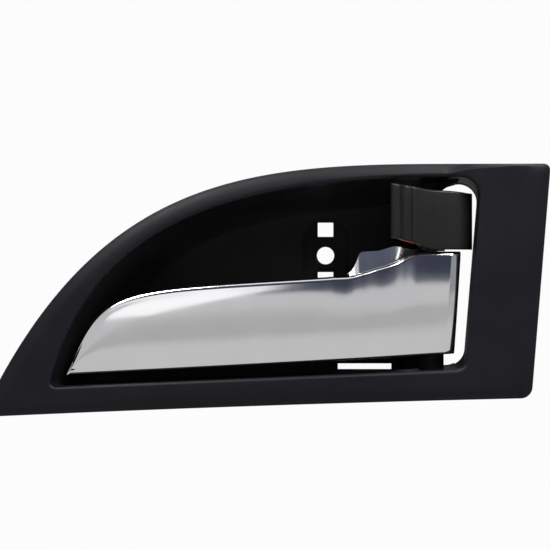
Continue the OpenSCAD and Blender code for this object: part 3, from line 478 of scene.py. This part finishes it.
def rib_pieces():
    """Ribs between the cup wall and the rim."""
    pieces = []
    rib_y, foot_y, reach = RIM_BACK_Y - 0.8, FRONT_Y + WALL - 0.1, RIM_T * 0.8
    for share in RIM_RIB_SHARES:
        i = TIP_STEPS // 2 if share == "tip" else TIP_STEPS + round(share * CREST_STEPS)
        along = unit(BEZEL_RING[i] - MOUTH_RING[i])
        side = np.array([-along[1], along[0]]) * RIB_T / 2
        near, far = MOUTH_RING[i] + along * WALL, BEZEL_RING[i] - along * reach
        base = [near + side, far + side, far - side, near - side]
        pieces.append(prism("rib", base, foot_y, rib_y))
    for x in FOOT_RIB_X:
        low = (x - RIB_T / 2, foot_y, z_between(BEZEL_HEEL, BEZEL_TIP, x) + reach)
        high = (x + RIB_T / 2, rib_y, z_between(MOUTH_HEEL, MOUTH_TIP, x) - WALL / 2)
        pieces.append(block("rib", low, high))
    return pieces


def blade_pieces():
    """Blades that carry the panel clips, and the hooks behind the crest."""
    pieces = []
    for x in CLIP_X:
        z = foot_mid_z(x)
        pieces.append(block("blade", (x - BLADE_W / 2, FOOT_Y, z - BLADE_T / 2),
                            (x + BLADE_W / 2, BLADE_BACK, z + BLADE_T / 2)))
    x = CLIP_RIGHT_X
    pieces.append(block("blade", (x - BLADE_T / 2, FOOT_Y, CLIP_Z - BLADE_W / 2),
                        (x + BLADE_T / 2, BLADE_BACK, CLIP_Z + BLADE_W / 2)))
    crest = MOUTH_RING[TIP_STEPS:TIP_STEPS + CREST_STEPS]
    for x in HOOK_X:
        z = float(np.interp(x, crest[:, 0], crest[:, 1]))
        hook = [(-19, z - 0.3), (-19, z + HOOK_RISE), (-17.6, z + HOOK_RISE), (-12, z - 0.8),
                (-12, z - 2.6)]
        pieces.append(prism("hook", hook, x - HOOK_W / 2, x + HOOK_W / 2, "x"))
    return pieces


def tongue_pieces():
    """Strips of the floor that reach into the hinge window."""
    low = z_between(FLOOR_HEEL, FLOOR_TIP, WINDOW_LEFT) - WALL / 2
    back = FLOOR_Y + WALL
    return [
        block("tongue", (WINDOW_LEFT - 1, FLOOR_Y, TONGUE_LOW), (TONGUE_X, back, TONGUE_TOP)),
        block("tongue", (WINDOW_LEFT - 1, FLOOR_Y, low), (PIN_X + 1, back, low + TONGUE_H)),
    ]


def lug_pieces():
    """Lugs that hold the hinge pin above and below the hubs."""
    pin, low = (PIN_X, PIN_Y), HUB_TOP + SIDE_GAP
    gusset = [(0, low + 0.2), (3, low + 0.5), (6.5, low + 2.9), (8.6, low + 3.5),
              (10, TOP_LUG_Z - 1), (0, TOP_LUG_Z - 1)]
    gusset = prism("gusset", [(PIN_X + x, z) for x, z in gusset], PIN_Y - WALL, PIN_Y + WALL)
    carve(gusset, bar("cut", pin, PIN_R + 0.02, low - 1, TOP_LUG_Z + 1, "z"))
    return [
        round_tube("lug", pin, LUG_R - 0.6, PIN_R + 0.02, low, TOP_LUG_Z),
        round_tube("lug", pin, LUG_R, PIN_R + 0.02, LOW_LUG_Z, LOW_KNUCKLE_LOW - SIDE_GAP),
        gusset,
    ]


def build_housing():
    window = hinge_window()
    skin = housing_skin()
    carve(skin, *seat_cutters(), slot_cutter(),
          prism("cut", window, FLOOR_Y - 1.5, COLLAR_BACK + 1))
    boss = upright_slot("boss", SEAT_R + WALL, SEAT_REACH, FLOOR_Y + WALL / 2, WALL)
    carve(boss, *seat_cutters())
    collar = tube("collar", grow(window, WALL), window, FLOOR_Y + WALL / 2, COLLAR_BACK)
    carve(collar, block("cut", (PIN_X + LUG_R + 5, COLLAR_SIDE_BACK, LOW_LUG_Z),
                        (CUP_RIGHT + 3 * WALL, COLLAR_BACK + 1, TOP_LUG_Z + WALL)))
    plate_back = lever_face(POST_X) + COVER_T + COVER_FIT + PLATE_T
    post = bar("post", (POST_X, POST_Z), POST_R, plate_back + BUMPER_H, FLOOR_Y + WALL / 2)
    details = [soften(p, 0.25) for p in
               [boss, post, *tongue_pieces(), *stake_pieces(), *rib_pieces(), *blade_pieces()]]
    return join("housing_shell", [skin, collar, *lug_pieces(), *details])


# Lever: chrome cover

def lever_foot(x):
    rise = LEVER_FOOT_RISE * (x - LEVER_TIP_X) / (LEVER_END_X - LEVER_TIP_X)
    return z_between(MOUTH_HEEL, MOUTH_TIP, x) + LEVER_GAP_FOOT + rise


def lever_face(x):
    """Depth of the lever's face at x, with its bow and the bevel at its right end."""
    e = np.maximum(0, x - LEVER_END_X + BEVEL_W)
    bow = LEVER_BOW * ((x + 22) / 65) ** 2
    turn = BEVEL_TURN * np.maximum(0, e - 0.75 * BEVEL_W) ** 2
    return LEVER_FACE_Y + bow + BEVEL_SLOPE * e + BEVEL_CURVE * e * e + turn


# Ear over the hinge: share of its length, of its rise at the top edge, of its rise at the
# crease of the face, and of its extra depth
EAR = [(0, 0, 0, 0), (0.1, 0.05, 0.02, 0.1), (0.15, 0.1, 0.03, 0.2), (0.2, 0.28, 0.06, 0.4),
       (0.225, 0.48, 0.09, 0.6), (0.243, 0.67, 0.115, 0.75), (0.257, 0.87, 0.135, 0.85),
       (0.274, 0.965, 0.16, 0.95), (0.31, 1, 0.21, 1), (0.4, 1.02, 0.35, 1),
       (0.48, 1.12, 0.46, 1), (0.545, 1.2, 0.57, 1), (0.63, 1.13, 0.77, 0.8),
       (0.73, 1.05, 0.96, 0.5), (0.85, 1, 0.99, 0.2), (1, 1, 0.985, 0)]


def lever_stations():
    """Stations along the lever: x, top edge, crease of the face, depth of the flank."""
    crest_end = np.array([0, lever_foot(0) + LEVER_H])
    tip = np.array([LEVER_TIP_X, lever_foot(LEVER_TIP_X)])
    handles = [part_way(tip, crest_end, q) for q in ((0.139, 0.942), (0.163, 0.858))]
    crest = [tip, *handles, crest_end]
    stations = []
    for t in lerp(0.012, 1, np.linspace(0, 1, 70) ** 1.5):
        p = bezier(crest, t)
        stations.append((p[0], p[1], p[1] - CREASE_GAP, LEVER_DEPTH))
    xs, tops, creases, depths = zip(*EAR)
    at = np.linspace(0, 1, 110)[1:]
    rise, length = EAR_Z - crest_end[1], LEVER_END_X - BEVEL_W
    for u, top, crease, depth in zip(at, *(through(xs, v, at) for v in (tops, creases, depths))):
        top = crest_end[1] + rise * top
        crease = min(crest_end[1] + rise * crease, top - CREASE_GAP)
        stations.append((u * length, top, crease, lerp(LEVER_DEPTH, EAR_DEPTH, depth)))
    for s in np.linspace(0, 1, 14)[1:]:
        stations.append((length + BEVEL_W * s, EAR_Z, EAR_Z - CREASE_GAP - 0.2 * s, LEVER_DEPTH))
    return stations


def lever_section(s, inset, back):
    """Cross-section of the lever at one station, moved in by inset, ending at the depth back."""
    x, top, crease = s[0], s[1] - inset, s[2] - inset
    foot, face = lever_foot(x) + inset, lever_face(x) + inset
    roll = min(LEVER_ROLL, (crease - foot) / 2.5)
    shoulder = roll + 0.3 + FLANK_SLOPE * (top - crease)
    lean = LEVER_LEAN * smooth((x - 10) / 30)
    turn = np.radians(np.linspace(90, 0, 9))
    section = [(top, face - inset + back), (top, face + shoulder)]
    section += [(crease - roll * (1 - math.sin(a)), face + roll * (1 - math.cos(a)))
                for a in turn]
    for u in np.linspace(1, 0, 21)[1:-1]:
        bulge = LEVER_BULGE * 4 * u * (1 - u)
        section.append((lerp(foot + roll, crease - roll, u), face - bulge))
    section += [(foot + roll * (1 - math.sin(a)), face + roll * (1 - math.cos(a)))
                for a in turn[::-1]]
    section.append((foot, face - inset + back))
    return np.array([(x + lean * (z - EAR_Z) / 32, y, z) for z, y in section])


def build_lever_cover():
    stations = lever_stations()
    cover = loft("chrome_cover", [lever_section(s, 0, s[3]) for s in stations], 50)
    limit, room = LEVER_END_X - COVER_T, 2 * COVER_T + 1.4
    inner = [s for s in stations if s[2] - lever_foot(s[0]) > room and s[0] < limit - 0.2]
    inner.append((limit, EAR_Z, EAR_Z - 0.2, LEVER_DEPTH))
    hollow = loft("cut", [lever_section(s, COVER_T, s[3] + 1) for s in inner[::2] + inner[-1:]])
    hinge = bar("cut", (PIN_X, PIN_Y), HUB_R + SIDE_GAP, LOW_LUG_Z, EAR_Z + 4, "z", 64)
    return carve(cover, hollow, hinge, sharp=50)


# Lock knob: swept blade with a finger bead

KNOB_FRONT = [(-14.6, -14.3), (-14, -15.4), (-12.8, -16), (-11.6, -15.6), (-10.6, -14.3),
              (-9.4, -13.5), (-8, -13.4), (-7, -14.1), (-6.2, -14), (-4.3, -13), (-2, -11.9),
              (1.2, -10.5), (4.2, -9.8), (7.4, -9.2), (10.3, -7.9), (12.5, -5.6), (13.5, -3),
              (13.7, -1.4)]
KNOB_BACK = [(-14.4, -13.3), (-13.6, -12.4), (-12.3, -11.7), (-11.2, -11.3), (-10.1, -10.9),
             (-9, -10.5), (-7.8, -10), (-6.9, -9.4), (-6.2, -8.4), (-5.5, -6), (-5.1, -2.5),
             (-4.4, 1.6), (-2, 4.4), (2, 5.2), (6.2, 4.8), (10, 3.4), (12.4, 1.4), (13.6, -0.2)]


def spline(points, per_span):
    """Catmull-Rom curve through the points."""
    p = np.array(points, float)
    p = np.vstack([2 * p[0] - p[1], p, 2 * p[-1] - p[-2]])
    curve = []
    for i in range(1, len(p) - 2):
        for t in np.arange(per_span) / per_span:
            a, b, c, d = p[i - 1:i + 3]
            curve.append(0.5 * (2 * b + (c - a) * t + (2 * a - 5 * b + 4 * c - d) * t * t
                                + (3 * b - a - 3 * c + d) * t**3))
    curve.append(p[-2])
    return np.array(curve)


def knob_section(front, back):
    """Round-edged upright section of the knob between its front and back points."""
    width = np.linalg.norm(back - front)
    r = min(KNOB_ROUND, width / 3)
    lift = KNOB_SWEEP * smooth((1 - front[0]) / 17)
    crown = KNOB_CROWN * max(0, 1 - (front[0] / 12) ** 2)
    skirt = KNOB_SKIRT * smooth((front[0] + 5) / 7)
    z0, z1 = HUB_LOW + lift, HUB_TOP + lift
    bend = [(1 - math.sin(a), 1 - math.cos(a)) for a in np.radians(np.linspace(0, 90, 6))]
    section = [(width - r * q, z1 - crown - r * p) for p, q in bend]
    section += [(r * p, z1 + crown - r * q) for p, q in bend]
    section += [(r * q, z0 - skirt + r * p) for p, q in bend]
    section += [(width - r * p, z0 + r * q) for p, q in bend]
    points = []
    for along, z in section:
        x, y = lerp(front, back, along / width)
        points.append((PIN_X + x, PIN_Y + y, z))
    return np.array(points)


def cable_arm(name, angle, z):
    """Arm with an eye, from the pin outwards, turned by angle from +Y towards +X."""
    side = Vector((math.cos(math.radians(angle)), -math.sin(math.radians(angle))))
    along = Vector((-side.y, side.x))
    pin = Vector((PIN_X, PIN_Y))
    eye = pin + along * ARM_L
    turn = math.degrees(math.atan2(along.y, along.x))
    half = math.degrees(math.asin(ARM_W / 2 / EYE_R))
    outer = [tuple(pin + side * s * ARM_W / 2) for s in (-1, 1)]
    outer += arc(eye, EYE_R, turn - 180 + half, turn + 180 - half, 40)
    arm = prism(name, outer, z - ARM_T / 2, z + ARM_T / 2, "z")
    carve(arm, bar("cut", tuple(eye), BUSH_R + 0.02, z - ARM_T, z + ARM_T, "z"))
    return soften(arm, 0.3)


def build_lock_knob():
    sections = [knob_section(f, b) for f, b in zip(spline(KNOB_FRONT, 5), spline(KNOB_BACK, 5))]
    blade = loft("blade", sections, 45)
    bore = bar("cut", (PIN_X, PIN_Y), PIN_R + PIN_FIT, HUB_LOW - 1, HUB_TOP + 2, "z")
    seat = bar("cut", (PIN_X, PIN_Y), HUB_R, HUB_LOW - 1, HUB_LOW, "z")
    carve(blade, bore, seat, sharp=45)
    return join("knob_blade", [blade, cable_arm("arm", -KNOB_TRAVEL / 2, LOCK_CABLE_Z)], 45)


# Return spring, one wire from the low leg to the top leg

def build_spring():
    top = KNUCKLE_LOW - WIRE_D / 2 - 0.4
    low = LOW_KNUCKLE_TOP + WIRE_D / 2 + 0.4
    low_leg, top_leg, peg_reach = 128, 90 - LEVER_ARM_A, 11
    first, last = low_leg - 90, top_leg + 90 - 360 * COIL_TURNS

    def polar(r, a):
        return np.array([r * math.cos(math.radians(a)), r * math.sin(math.radians(a))])

    path = [np.append(polar(COIL_R, first) + polar(d, low_leg), low) for d in (18, 12, 6, 2)]
    n = 30 * COIL_TURNS
    for i in range(n + 1):
        path.append(np.append(polar(COIL_R, lerp(first, last, i / n)), lerp(low, top, i / n)))
    path += [np.append(polar(COIL_R, last) + polar(d, top_leg), top)
             for d in (2, 8, peg_reach + 3)]
    path = np.array(path) + (PIN_X, PIN_Y, 0)
    rings = []
    for i in range(len(path)):
        along = unit(path[min(i + 1, len(path) - 1)] - path[max(i - 1, 0)])
        right = unit(np.cross(along, (0, 0, 1)))
        up = np.cross(right, along)
        angles = np.radians(np.arange(0, 360, 30))
        rings.append(np.array([path[i] + WIRE_D / 2 * (math.cos(a) * right + math.sin(a) * up)
                               for a in angles]))
    return loft("return_spring", rings, 50)


# Materials

def new_material(name):
    mat = bpy.data.materials.new(name)
    mat.use_nodes = True
    tree = mat.node_tree
    return mat, tree, tree.nodes["Principled BSDF"]


def noise(tree, scale, detail=4.0, rough=0.6, kind="ShaderNodeTexNoise", stretch=None):
    """Procedural pattern in the object's own coordinates, stretched if asked for."""
    source = tree.nodes.new("ShaderNodeTexCoord").outputs["Object"]
    if stretch:
        mapping = tree.nodes.new("ShaderNodeMapping")
        mapping.inputs["Scale"].default_value = stretch
        tree.links.new(source, mapping.inputs["Vector"])
        source = mapping.outputs["Vector"]
    tex = tree.nodes.new(kind)
    tex.inputs["Scale"].default_value = scale
    if kind == "ShaderNodeTexNoise":
        tex.inputs["Detail"].default_value = detail
        tex.inputs["Roughness"].default_value = rough
    tree.links.new(source, tex.inputs["Vector"])
    return tex


def spread(tree, source, low, high, at=(0.3, 0.7)):
    """Maps a pattern to values between low and high."""
    ranges = tree.nodes.new("ShaderNodeMapRange")
    ranges.inputs["From Min"].default_value, ranges.inputs["From Max"].default_value = at
    ranges.inputs["To Min"].default_value = low
    ranges.inputs["To Max"].default_value = high
    tree.links.new(source, ranges.inputs["Value"])
    return ranges.outputs["Result"]


def tint(tree, source, low, high):
    """Colour that a pattern blends between low and high."""
    mix = tree.nodes.new("ShaderNodeMix")
    mix.data_type = "RGBA"
    mix.inputs["A"].default_value = (*low, 1)
    mix.inputs["B"].default_value = (*high, 1)
    tree.links.new(source, mix.inputs["Factor"])
    return mix.outputs["Result"]


def calc(tree, operation, *values):
    """Math node on sockets or numbers."""
    node = tree.nodes.new("ShaderNodeMath")
    node.operation = operation
    for i, value in enumerate(values):
        if isinstance(value, (int, float)):
            node.inputs[i].default_value = value
        else:
            tree.links.new(value, node.inputs[i])
    return node.outputs[0]


def over(tree, share, under, colour):
    """Lays a plain colour over another by its share."""
    mix = tree.nodes.new("ShaderNodeMix")
    mix.data_type = "RGBA"
    mix.inputs["B"].default_value = (*colour, 1)
    tree.links.new(share, mix.inputs["Factor"])
    tree.links.new(under, mix.inputs["A"])
    return mix.outputs["Result"]


def shader_over(tree, share, under, top):
    """Lays one shader over another by its share."""
    mix = tree.nodes.new("ShaderNodeMixShader")
    tree.links.new(share, mix.inputs["Fac"])
    tree.links.new(under, mix.inputs[1])
    tree.links.new(top, mix.inputs[2])
    return mix.outputs[0]


def bump(tree, shader, *layers):
    """Stacks bump layers, each a height with its strength and its depth in metres."""
    normal = None
    for height, strength, depth in layers:
        node = tree.nodes.new("ShaderNodeBump")
        node.inputs["Strength"].default_value = strength
        node.inputs["Distance"].default_value = depth
        tree.links.new(height, node.inputs["Height"])
        if normal:
            tree.links.new(normal, node.inputs["Normal"])
        normal = node.outputs["Normal"]
    tree.links.new(normal, shader.inputs["Normal"])


def moulded_plastic(name, low, high, rough, grain, grain_depth, specular=0.5):
    """Moulded plastic with a fine spark-eroded grain, faint clouds and rubbed patches."""
    mat, tree, shader = new_material(name)
    clouds = noise(tree, 28, 5)
    shader.inputs["Specular IOR Level"].default_value = specular
    tree.links.new(tint(tree, spread(tree, clouds.outputs["Fac"], 0, 1), low, high),
                   shader.inputs["Base Color"])
    rubbed = noise(tree, 90, 6, 0.7)
    tree.links.new(spread(tree, rubbed.outputs["Fac"], *rough), shader.inputs["Roughness"])
    fine = noise(tree, grain, 3, 0.55)
    coarse = noise(tree, grain * 0.33, 2, 0.5)
    bump(tree, shader, (fine.outputs["Fac"], 0.6, grain_depth),
         (coarse.outputs["Fac"], 0.35, grain_depth))
    return mat


def chrome():
    """Bright plating over moulded plastic: slightly wavy, with a faint haze."""
    mat, tree, shader = new_material("chrome_plating")
    shader.inputs["Metallic"].default_value = 1
    haze = noise(tree, 45, 5, 0.6)
    tree.links.new(tint(tree, spread(tree, haze.outputs["Fac"], 0, 1), (0.8, 0.8, 0.81),
                        (0.86, 0.86, 0.87)), shader.inputs["Base Color"])
    tree.links.new(spread(tree, haze.outputs["Fac"], 0.05, 0.11), shader.inputs["Roughness"])
    wave = noise(tree, 14, 2, 0.4)
    bump(tree, shader, (wave.outputs["Fac"], 0.5, 0.0004))
    return mat


def metal(name, low, high, rough, stretch=(1, 1, 12), scale=220):
    """Drawn or turned metal with fine lines along one direction."""
    mat, tree, shader = new_material(name)
    shader.inputs["Metallic"].default_value = 1
    lines = noise(tree, scale, 6, 0.6, stretch=stretch)
    clouds = noise(tree, 60, 4)
    tree.links.new(tint(tree, spread(tree, clouds.outputs["Fac"], 0, 1), low, high),
                   shader.inputs["Base Color"])
    tree.links.new(spread(tree, lines.outputs["Fac"], *rough), shader.inputs["Roughness"])
    bump(tree, shader, (lines.outputs["Fac"], 0.3, 0.00004))
    return mat


def foam():
    """Open-cell foam."""
    mat, tree, shader = new_material("open_foam")
    cells = noise(tree, 1400, kind="ShaderNodeTexVoronoi")
    shader.inputs["Roughness"].default_value = 0.95
    tree.links.new(tint(tree, spread(tree, cells.outputs["Distance"], 0, 1, (0.1, 0.6)),
                        (0.035, 0.035, 0.037), (0.11, 0.11, 0.115)), shader.inputs["Base Color"])
    bump(tree, shader, (cells.outputs["Distance"], 0.8, 0.0005))
    return mat


def dress():
    """Materials of all pieces, by CAD node."""
    bezel = moulded_plastic("bezel_grain", (0.003, 0.003, 0.0045), (0.0045, 0.0045, 0.0068),
                            (0.38, 0.5), 2600, 0.00004, 0.14)
    # Painted shade: the cup's inside gets this duller copy of the bezel's plastic, with less
    # specular, more roughness and less blue.
    cup = moulded_plastic("cup_grain_painted_shade", (0.003, 0.003, 0.0032), (0.005, 0.005, 0.0054),
                          (0.5, 0.62), 2600, 0.00004, 0.08)
    black = moulded_plastic("knob_plastic", (0.004, 0.004, 0.004), (0.007, 0.007, 0.007),
                            (0.34, 0.46), 3200, 0.00003, 0.2)
    nylon = moulded_plastic("natural_nylon", (0.62, 0.6, 0.52), (0.72, 0.7, 0.62),
                            (0.35, 0.5), 1800, 0.00002)
    rubber = moulded_plastic("black_rubber", (0.012, 0.012, 0.012), (0.022, 0.022, 0.022),
                             (0.7, 0.85), 1500, 0.00005, 0.3)
    red = moulded_plastic("red_insert", (0.42, 0.02, 0.014), (0.5, 0.03, 0.02),
                          (0.25, 0.4), 2400, 0.00002)
    steel = metal("drawn_steel", (0.5, 0.5, 0.51), (0.6, 0.6, 0.6), (0.25, 0.45))
    zinc = metal("yellow_zinc", (0.55, 0.46, 0.22), (0.62, 0.55, 0.34), (0.3, 0.5),
                 (1, 8, 1), 300)
    by_node = {
        "lever_carrier": black, "cover_screws": steel, "lock_marker": red,
        "lock_detent_spring": steel, "hinge_pin": steel, "pin_ring": steel,
        "hub_washer": black, "rest_bumper": rubber, "travel_bumper": rubber,
        "cable_bracket": steel, "release_cable_bush": nylon,
        "lock_cable_bush": nylon,
        "panel_clip_left": zinc, "panel_clip_middle": zinc, "panel_clip_right": zinc,
        "foam_pad_left": foam(), "foam_pad_right": foam(),
    }
    for node, mat in by_node.items():
        mesh = nodes[node].data
        mesh.materials.clear()
        mesh.materials.append(mat)
    return bezel, cup, black, steel


def place(obj, node, body, mat):
    """The piece takes the node's place on its body, with its material."""
    obj.data.materials.clear()
    obj.data.materials.append(mat)
    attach(obj, body)
    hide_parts(node)


def paint_cup_shade(obj, mat):
    """The cup's inside, behind the mouth's rounded edge, gets a duller copy of the bezel's
    plastic, with less specular, as painted shade for the deep cup.
    """
    mesh = obj.data
    mesh.materials.append(mat)
    centres = np.empty(len(mesh.polygons) * 3)
    mesh.polygons.foreach_get("center", centres)
    centres = centres.reshape(-1, 3) / MM
    x, z = centres[:, 0], centres[:, 2]
    inside = np.zeros(len(centres), bool)
    for a, b in zip(MOUTH_EDGE, np.roll(MOUTH_EDGE, -1, 0)):
        if a[1] != b[1]:
            crossed = a[0] + (b[0] - a[0]) * (z - a[1]) / (b[1] - a[1])
            inside ^= ((a[1] > z) != (b[1] > z)) & (x < crossed)
    inside &= centres[:, 1] > FRONT_Y + 2.2 * MOUTH_ROUND
    mesh.polygons.foreach_set("material_index", inside.astype(np.int32))


bezel_mat, cup_shade_mat, black_mat, steel_mat = dress()
housing = build_housing()
place(housing, "housing", HOUSING_BODY, bezel_mat)
# Painted shade: the faces inside the cup take the duller copy of the plastic.
paint_cup_shade(housing, cup_shade_mat)
place(build_lever_cover(), "lever_cover", LEVER_BODY, chrome())
place(build_lock_knob(), "lock_knob", KNOB_BODY, black_mat)

spring = build_spring()
spring.data.materials.append(steel_mat)
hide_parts("lever_spring")
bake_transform(spring)


# Camera, in line with the photograph

VIEW_DISTANCE = 700.0
VIEW_WIDTH = 550 / 3
CAMERA_AT = (-17.5, FRONT_Y - VIEW_DISTANCE, -6.7)


def add_camera():
    data = bpy.data.cameras.new("camera")
    data.angle = 2 * math.atan(VIEW_WIDTH / 2 / VIEW_DISTANCE)
    camera = bpy.data.objects.new("camera", data)
    camera.location = Vector(CAMERA_AT) * MM
    camera.rotation_euler = (math.radians(90), 0, 0)
    bpy.context.scene.collection.objects.link(camera)
    bpy.context.scene.camera = camera


# Floor, lights and surroundings

FLOOR_Z, FLOOR_REACH = -0.17, 6.0
WHITE = 0.975
# Grey of the floor in reflections, near the part and far from it
FLOOR_NEAR, FLOOR_FAR = 0.6, 0.46
# Lamps: place, size and watts; each points at the part
LAMPS = {
    "key": ((0.3, -0.36, 0.5), (0.35, 0.25), 7.0),
    "fill": ((-0.27, -0.27, 0.5), (0.26, 0.26), 4.0),
    "back": ((0.2, 0.5, 0.5), (0.5, 0.5), 1.5),
}


def add_floor():
    """Pale floor that glows white far from the part and looks plain grey in reflections."""
    corners = [(x, y, FLOOR_Z) for x, y in
               [(-FLOOR_REACH, -FLOOR_REACH), (FLOOR_REACH, -FLOOR_REACH),
                (FLOOR_REACH, FLOOR_REACH), (-FLOOR_REACH, FLOOR_REACH)]]
    mesh = bpy.data.meshes.new("floor")
    mesh.from_pydata(corners, [], [(0, 1, 2, 3)])
    floor = bpy.data.objects.new("floor", mesh)
    bpy.context.scene.collection.objects.link(floor)
    mat, tree, shader = new_material("pale_floor")
    shader.inputs["Base Color"].default_value = (0.8, 0.8, 0.8, 1)
    shader.inputs["Roughness"].default_value = 0.9
    path = tree.nodes.new("ShaderNodeLightPath")
    coords = tree.nodes.new("ShaderNodeTexCoord")
    reach = tree.nodes.new("ShaderNodeVectorMath")
    reach.operation = "LENGTH"
    tree.links.new(coords.outputs["Object"], reach.inputs[0])
    mirrored = tree.nodes.new("ShaderNodeEmission")
    grey = spread(tree, reach.outputs["Value"], FLOOR_NEAR, FLOOR_FAR, (1.0, 1.6))
    tree.links.new(grey, mirrored.inputs["Strength"])
    lit = shader_over(tree, path.outputs["Is Glossy Ray"], shader.outputs[0], mirrored.outputs[0])
    glow = tree.nodes.new("ShaderNodeEmission")
    glow.inputs["Color"].default_value = (WHITE, WHITE, WHITE, 1)
    far = spread(tree, reach.outputs["Value"], 0.6, 1, (0.2, 0.7))
    share = calc(tree, "MULTIPLY", path.outputs["Is Camera Ray"], far)
    seen = shader_over(tree, share, lit, glow.outputs[0])
    tree.links.new(seen, tree.nodes["Material Output"].inputs["Surface"])
    mesh.materials.append(mat)


def add_lamp(name, at, size, watts):
    data = bpy.data.lights.new(name, "AREA")
    data.shape = "RECTANGLE"
    data.size, data.size_y = size
    data.energy = watts
    lamp = bpy.data.objects.new(name, data)
    lamp.location = at
    lamp.rotation_euler = (-Vector(at)).to_track_quat("-Z", "Y").to_euler()
    bpy.context.scene.collection.objects.link(lamp)


# Reflected surroundings: heights as the sine of the elevation, with their colours
SKY = [(-1.0, (0.44, 0.44, 0.44)), (0.0, (0.47, 0.47, 0.47)), (0.05, (0.52, 0.52, 0.52)),
       (0.09, (0.59, 0.59, 0.59)), (0.162, (0.61, 0.61, 0.63)), (0.173, (0.11, 0.12, 0.15)),
       (0.192, (0.09, 0.1, 0.125)), (0.212, (0.042, 0.047, 0.07)), (0.42, (0.04, 0.045, 0.07)),
       (0.55, (0.075, 0.085, 0.125)), (0.8, (0.085, 0.095, 0.135)), (0.88, (1, 1, 1)),
       (1.0, (1, 1, 1))]
# Right of the middle the surroundings sink by this slope, as far as this reach
SINK, SINK_FROM, SINK_REACH = 0.88, 0.03, 0.11
# Bright card at the left: its level, its two slanted lower edges, its top, their softness
CARD, CARD_EDGES, CARD_TOP = 1.15, [(-0.82, 0.197), (0.67, 0.0)], 0.212
EDGE_SOFT, TOP_SOFT = 0.005, 0.004
# Grey cards at both sides: where each begins and where it is full, with its colour
SIDES = [((-0.2, -0.27), (0.55, 0.55, 0.56)), ((0.35, 0.5), (0.3, 0.31, 0.33))]
# Behind the part it gets dim: where that begins, where it ends, and the level there
BEHIND_FROM, BEHIND_TO, BEHIND_LEVEL = 0.1, 0.6, 0.12


def studio_colour(tree, direction):
    """Colour and strength that a reflected ray finds in its direction."""
    split = tree.nodes.new("ShaderNodeSeparateXYZ")
    tree.links.new(direction, split.inputs[0])
    x, y, z = split.outputs
    right = calc(tree, "MAXIMUM", calc(tree, "SUBTRACT", x, SINK_FROM), 0.0)
    height = calc(tree, "MULTIPLY_ADD", calc(tree, "MINIMUM", right, SINK_REACH), SINK, z)
    ramp = tree.nodes.new("ShaderNodeValToRGB")
    stops = ramp.color_ramp.elements
    while len(stops) > 1:
        stops.remove(stops[-1])
    for i, (level, colour) in enumerate(SKY):
        at = (level + 1) / 2
        stop = stops[0] if i == 0 else stops.new(at)
        stop.position = at
        stop.color = (*colour, 1)
    tree.links.new(spread(tree, height, 0, 1, (-1, 1)), ramp.inputs["Fac"])
    colour = ramp.outputs["Color"]
    for edges, side in SIDES:
        colour = over(tree, spread(tree, x, 0, 1, edges), colour, side)
    card = spread(tree, z, 1, 0, (CARD_TOP - TOP_SOFT, CARD_TOP + TOP_SOFT))
    for slope, low in CARD_EDGES:
        slanted = calc(tree, "MULTIPLY_ADD", x, slope, z)
        edge = spread(tree, slanted, 0, 1, (low - EDGE_SOFT, low + EDGE_SOFT))
        card = calc(tree, "MULTIPLY", card, edge)
    colour = over(tree, card, colour, (CARD, CARD, CARD))
    return colour, spread(tree, y, 1, BEHIND_LEVEL, (BEHIND_FROM, BEHIND_TO))


def add_surroundings():
    """White for the camera, a soft level for the light, a banded studio for reflections."""
    world = bpy.data.worlds.new("studio")
    bpy.context.scene.world = world
    world.use_nodes = True
    tree = world.node_tree
    tree.nodes.clear()
    out = tree.nodes.new("ShaderNodeOutputWorld")
    path = tree.nodes.new("ShaderNodeLightPath")
    white = tree.nodes.new("ShaderNodeBackground")
    white.inputs["Color"].default_value = (WHITE, WHITE, WHITE, 1)
    level = tree.nodes.new("ShaderNodeBackground")
    level.inputs["Color"].default_value = (0.6, 0.6, 0.62, 1)
    studio = tree.nodes.new("ShaderNodeBackground")
    coords = tree.nodes.new("ShaderNodeTexCoord")
    colour, strength = studio_colour(tree, coords.outputs["Generated"])
    tree.links.new(colour, studio.inputs["Color"])
    tree.links.new(strength, studio.inputs["Strength"])
    lit = shader_over(tree, path.outputs["Is Glossy Ray"], level.outputs[0], studio.outputs[0])
    seen = shader_over(tree, path.outputs["Is Camera Ray"], lit, white.outputs[0])
    tree.links.new(seen, out.inputs["Surface"])


add_camera()
add_floor()
add_surroundings()
for lamp_name, (lamp_at, lamp_size, lamp_watts) in LAMPS.items():
    add_lamp(lamp_name, lamp_at, lamp_size, lamp_watts)

bpy.context.scene.view_settings.view_transform = "Standard"
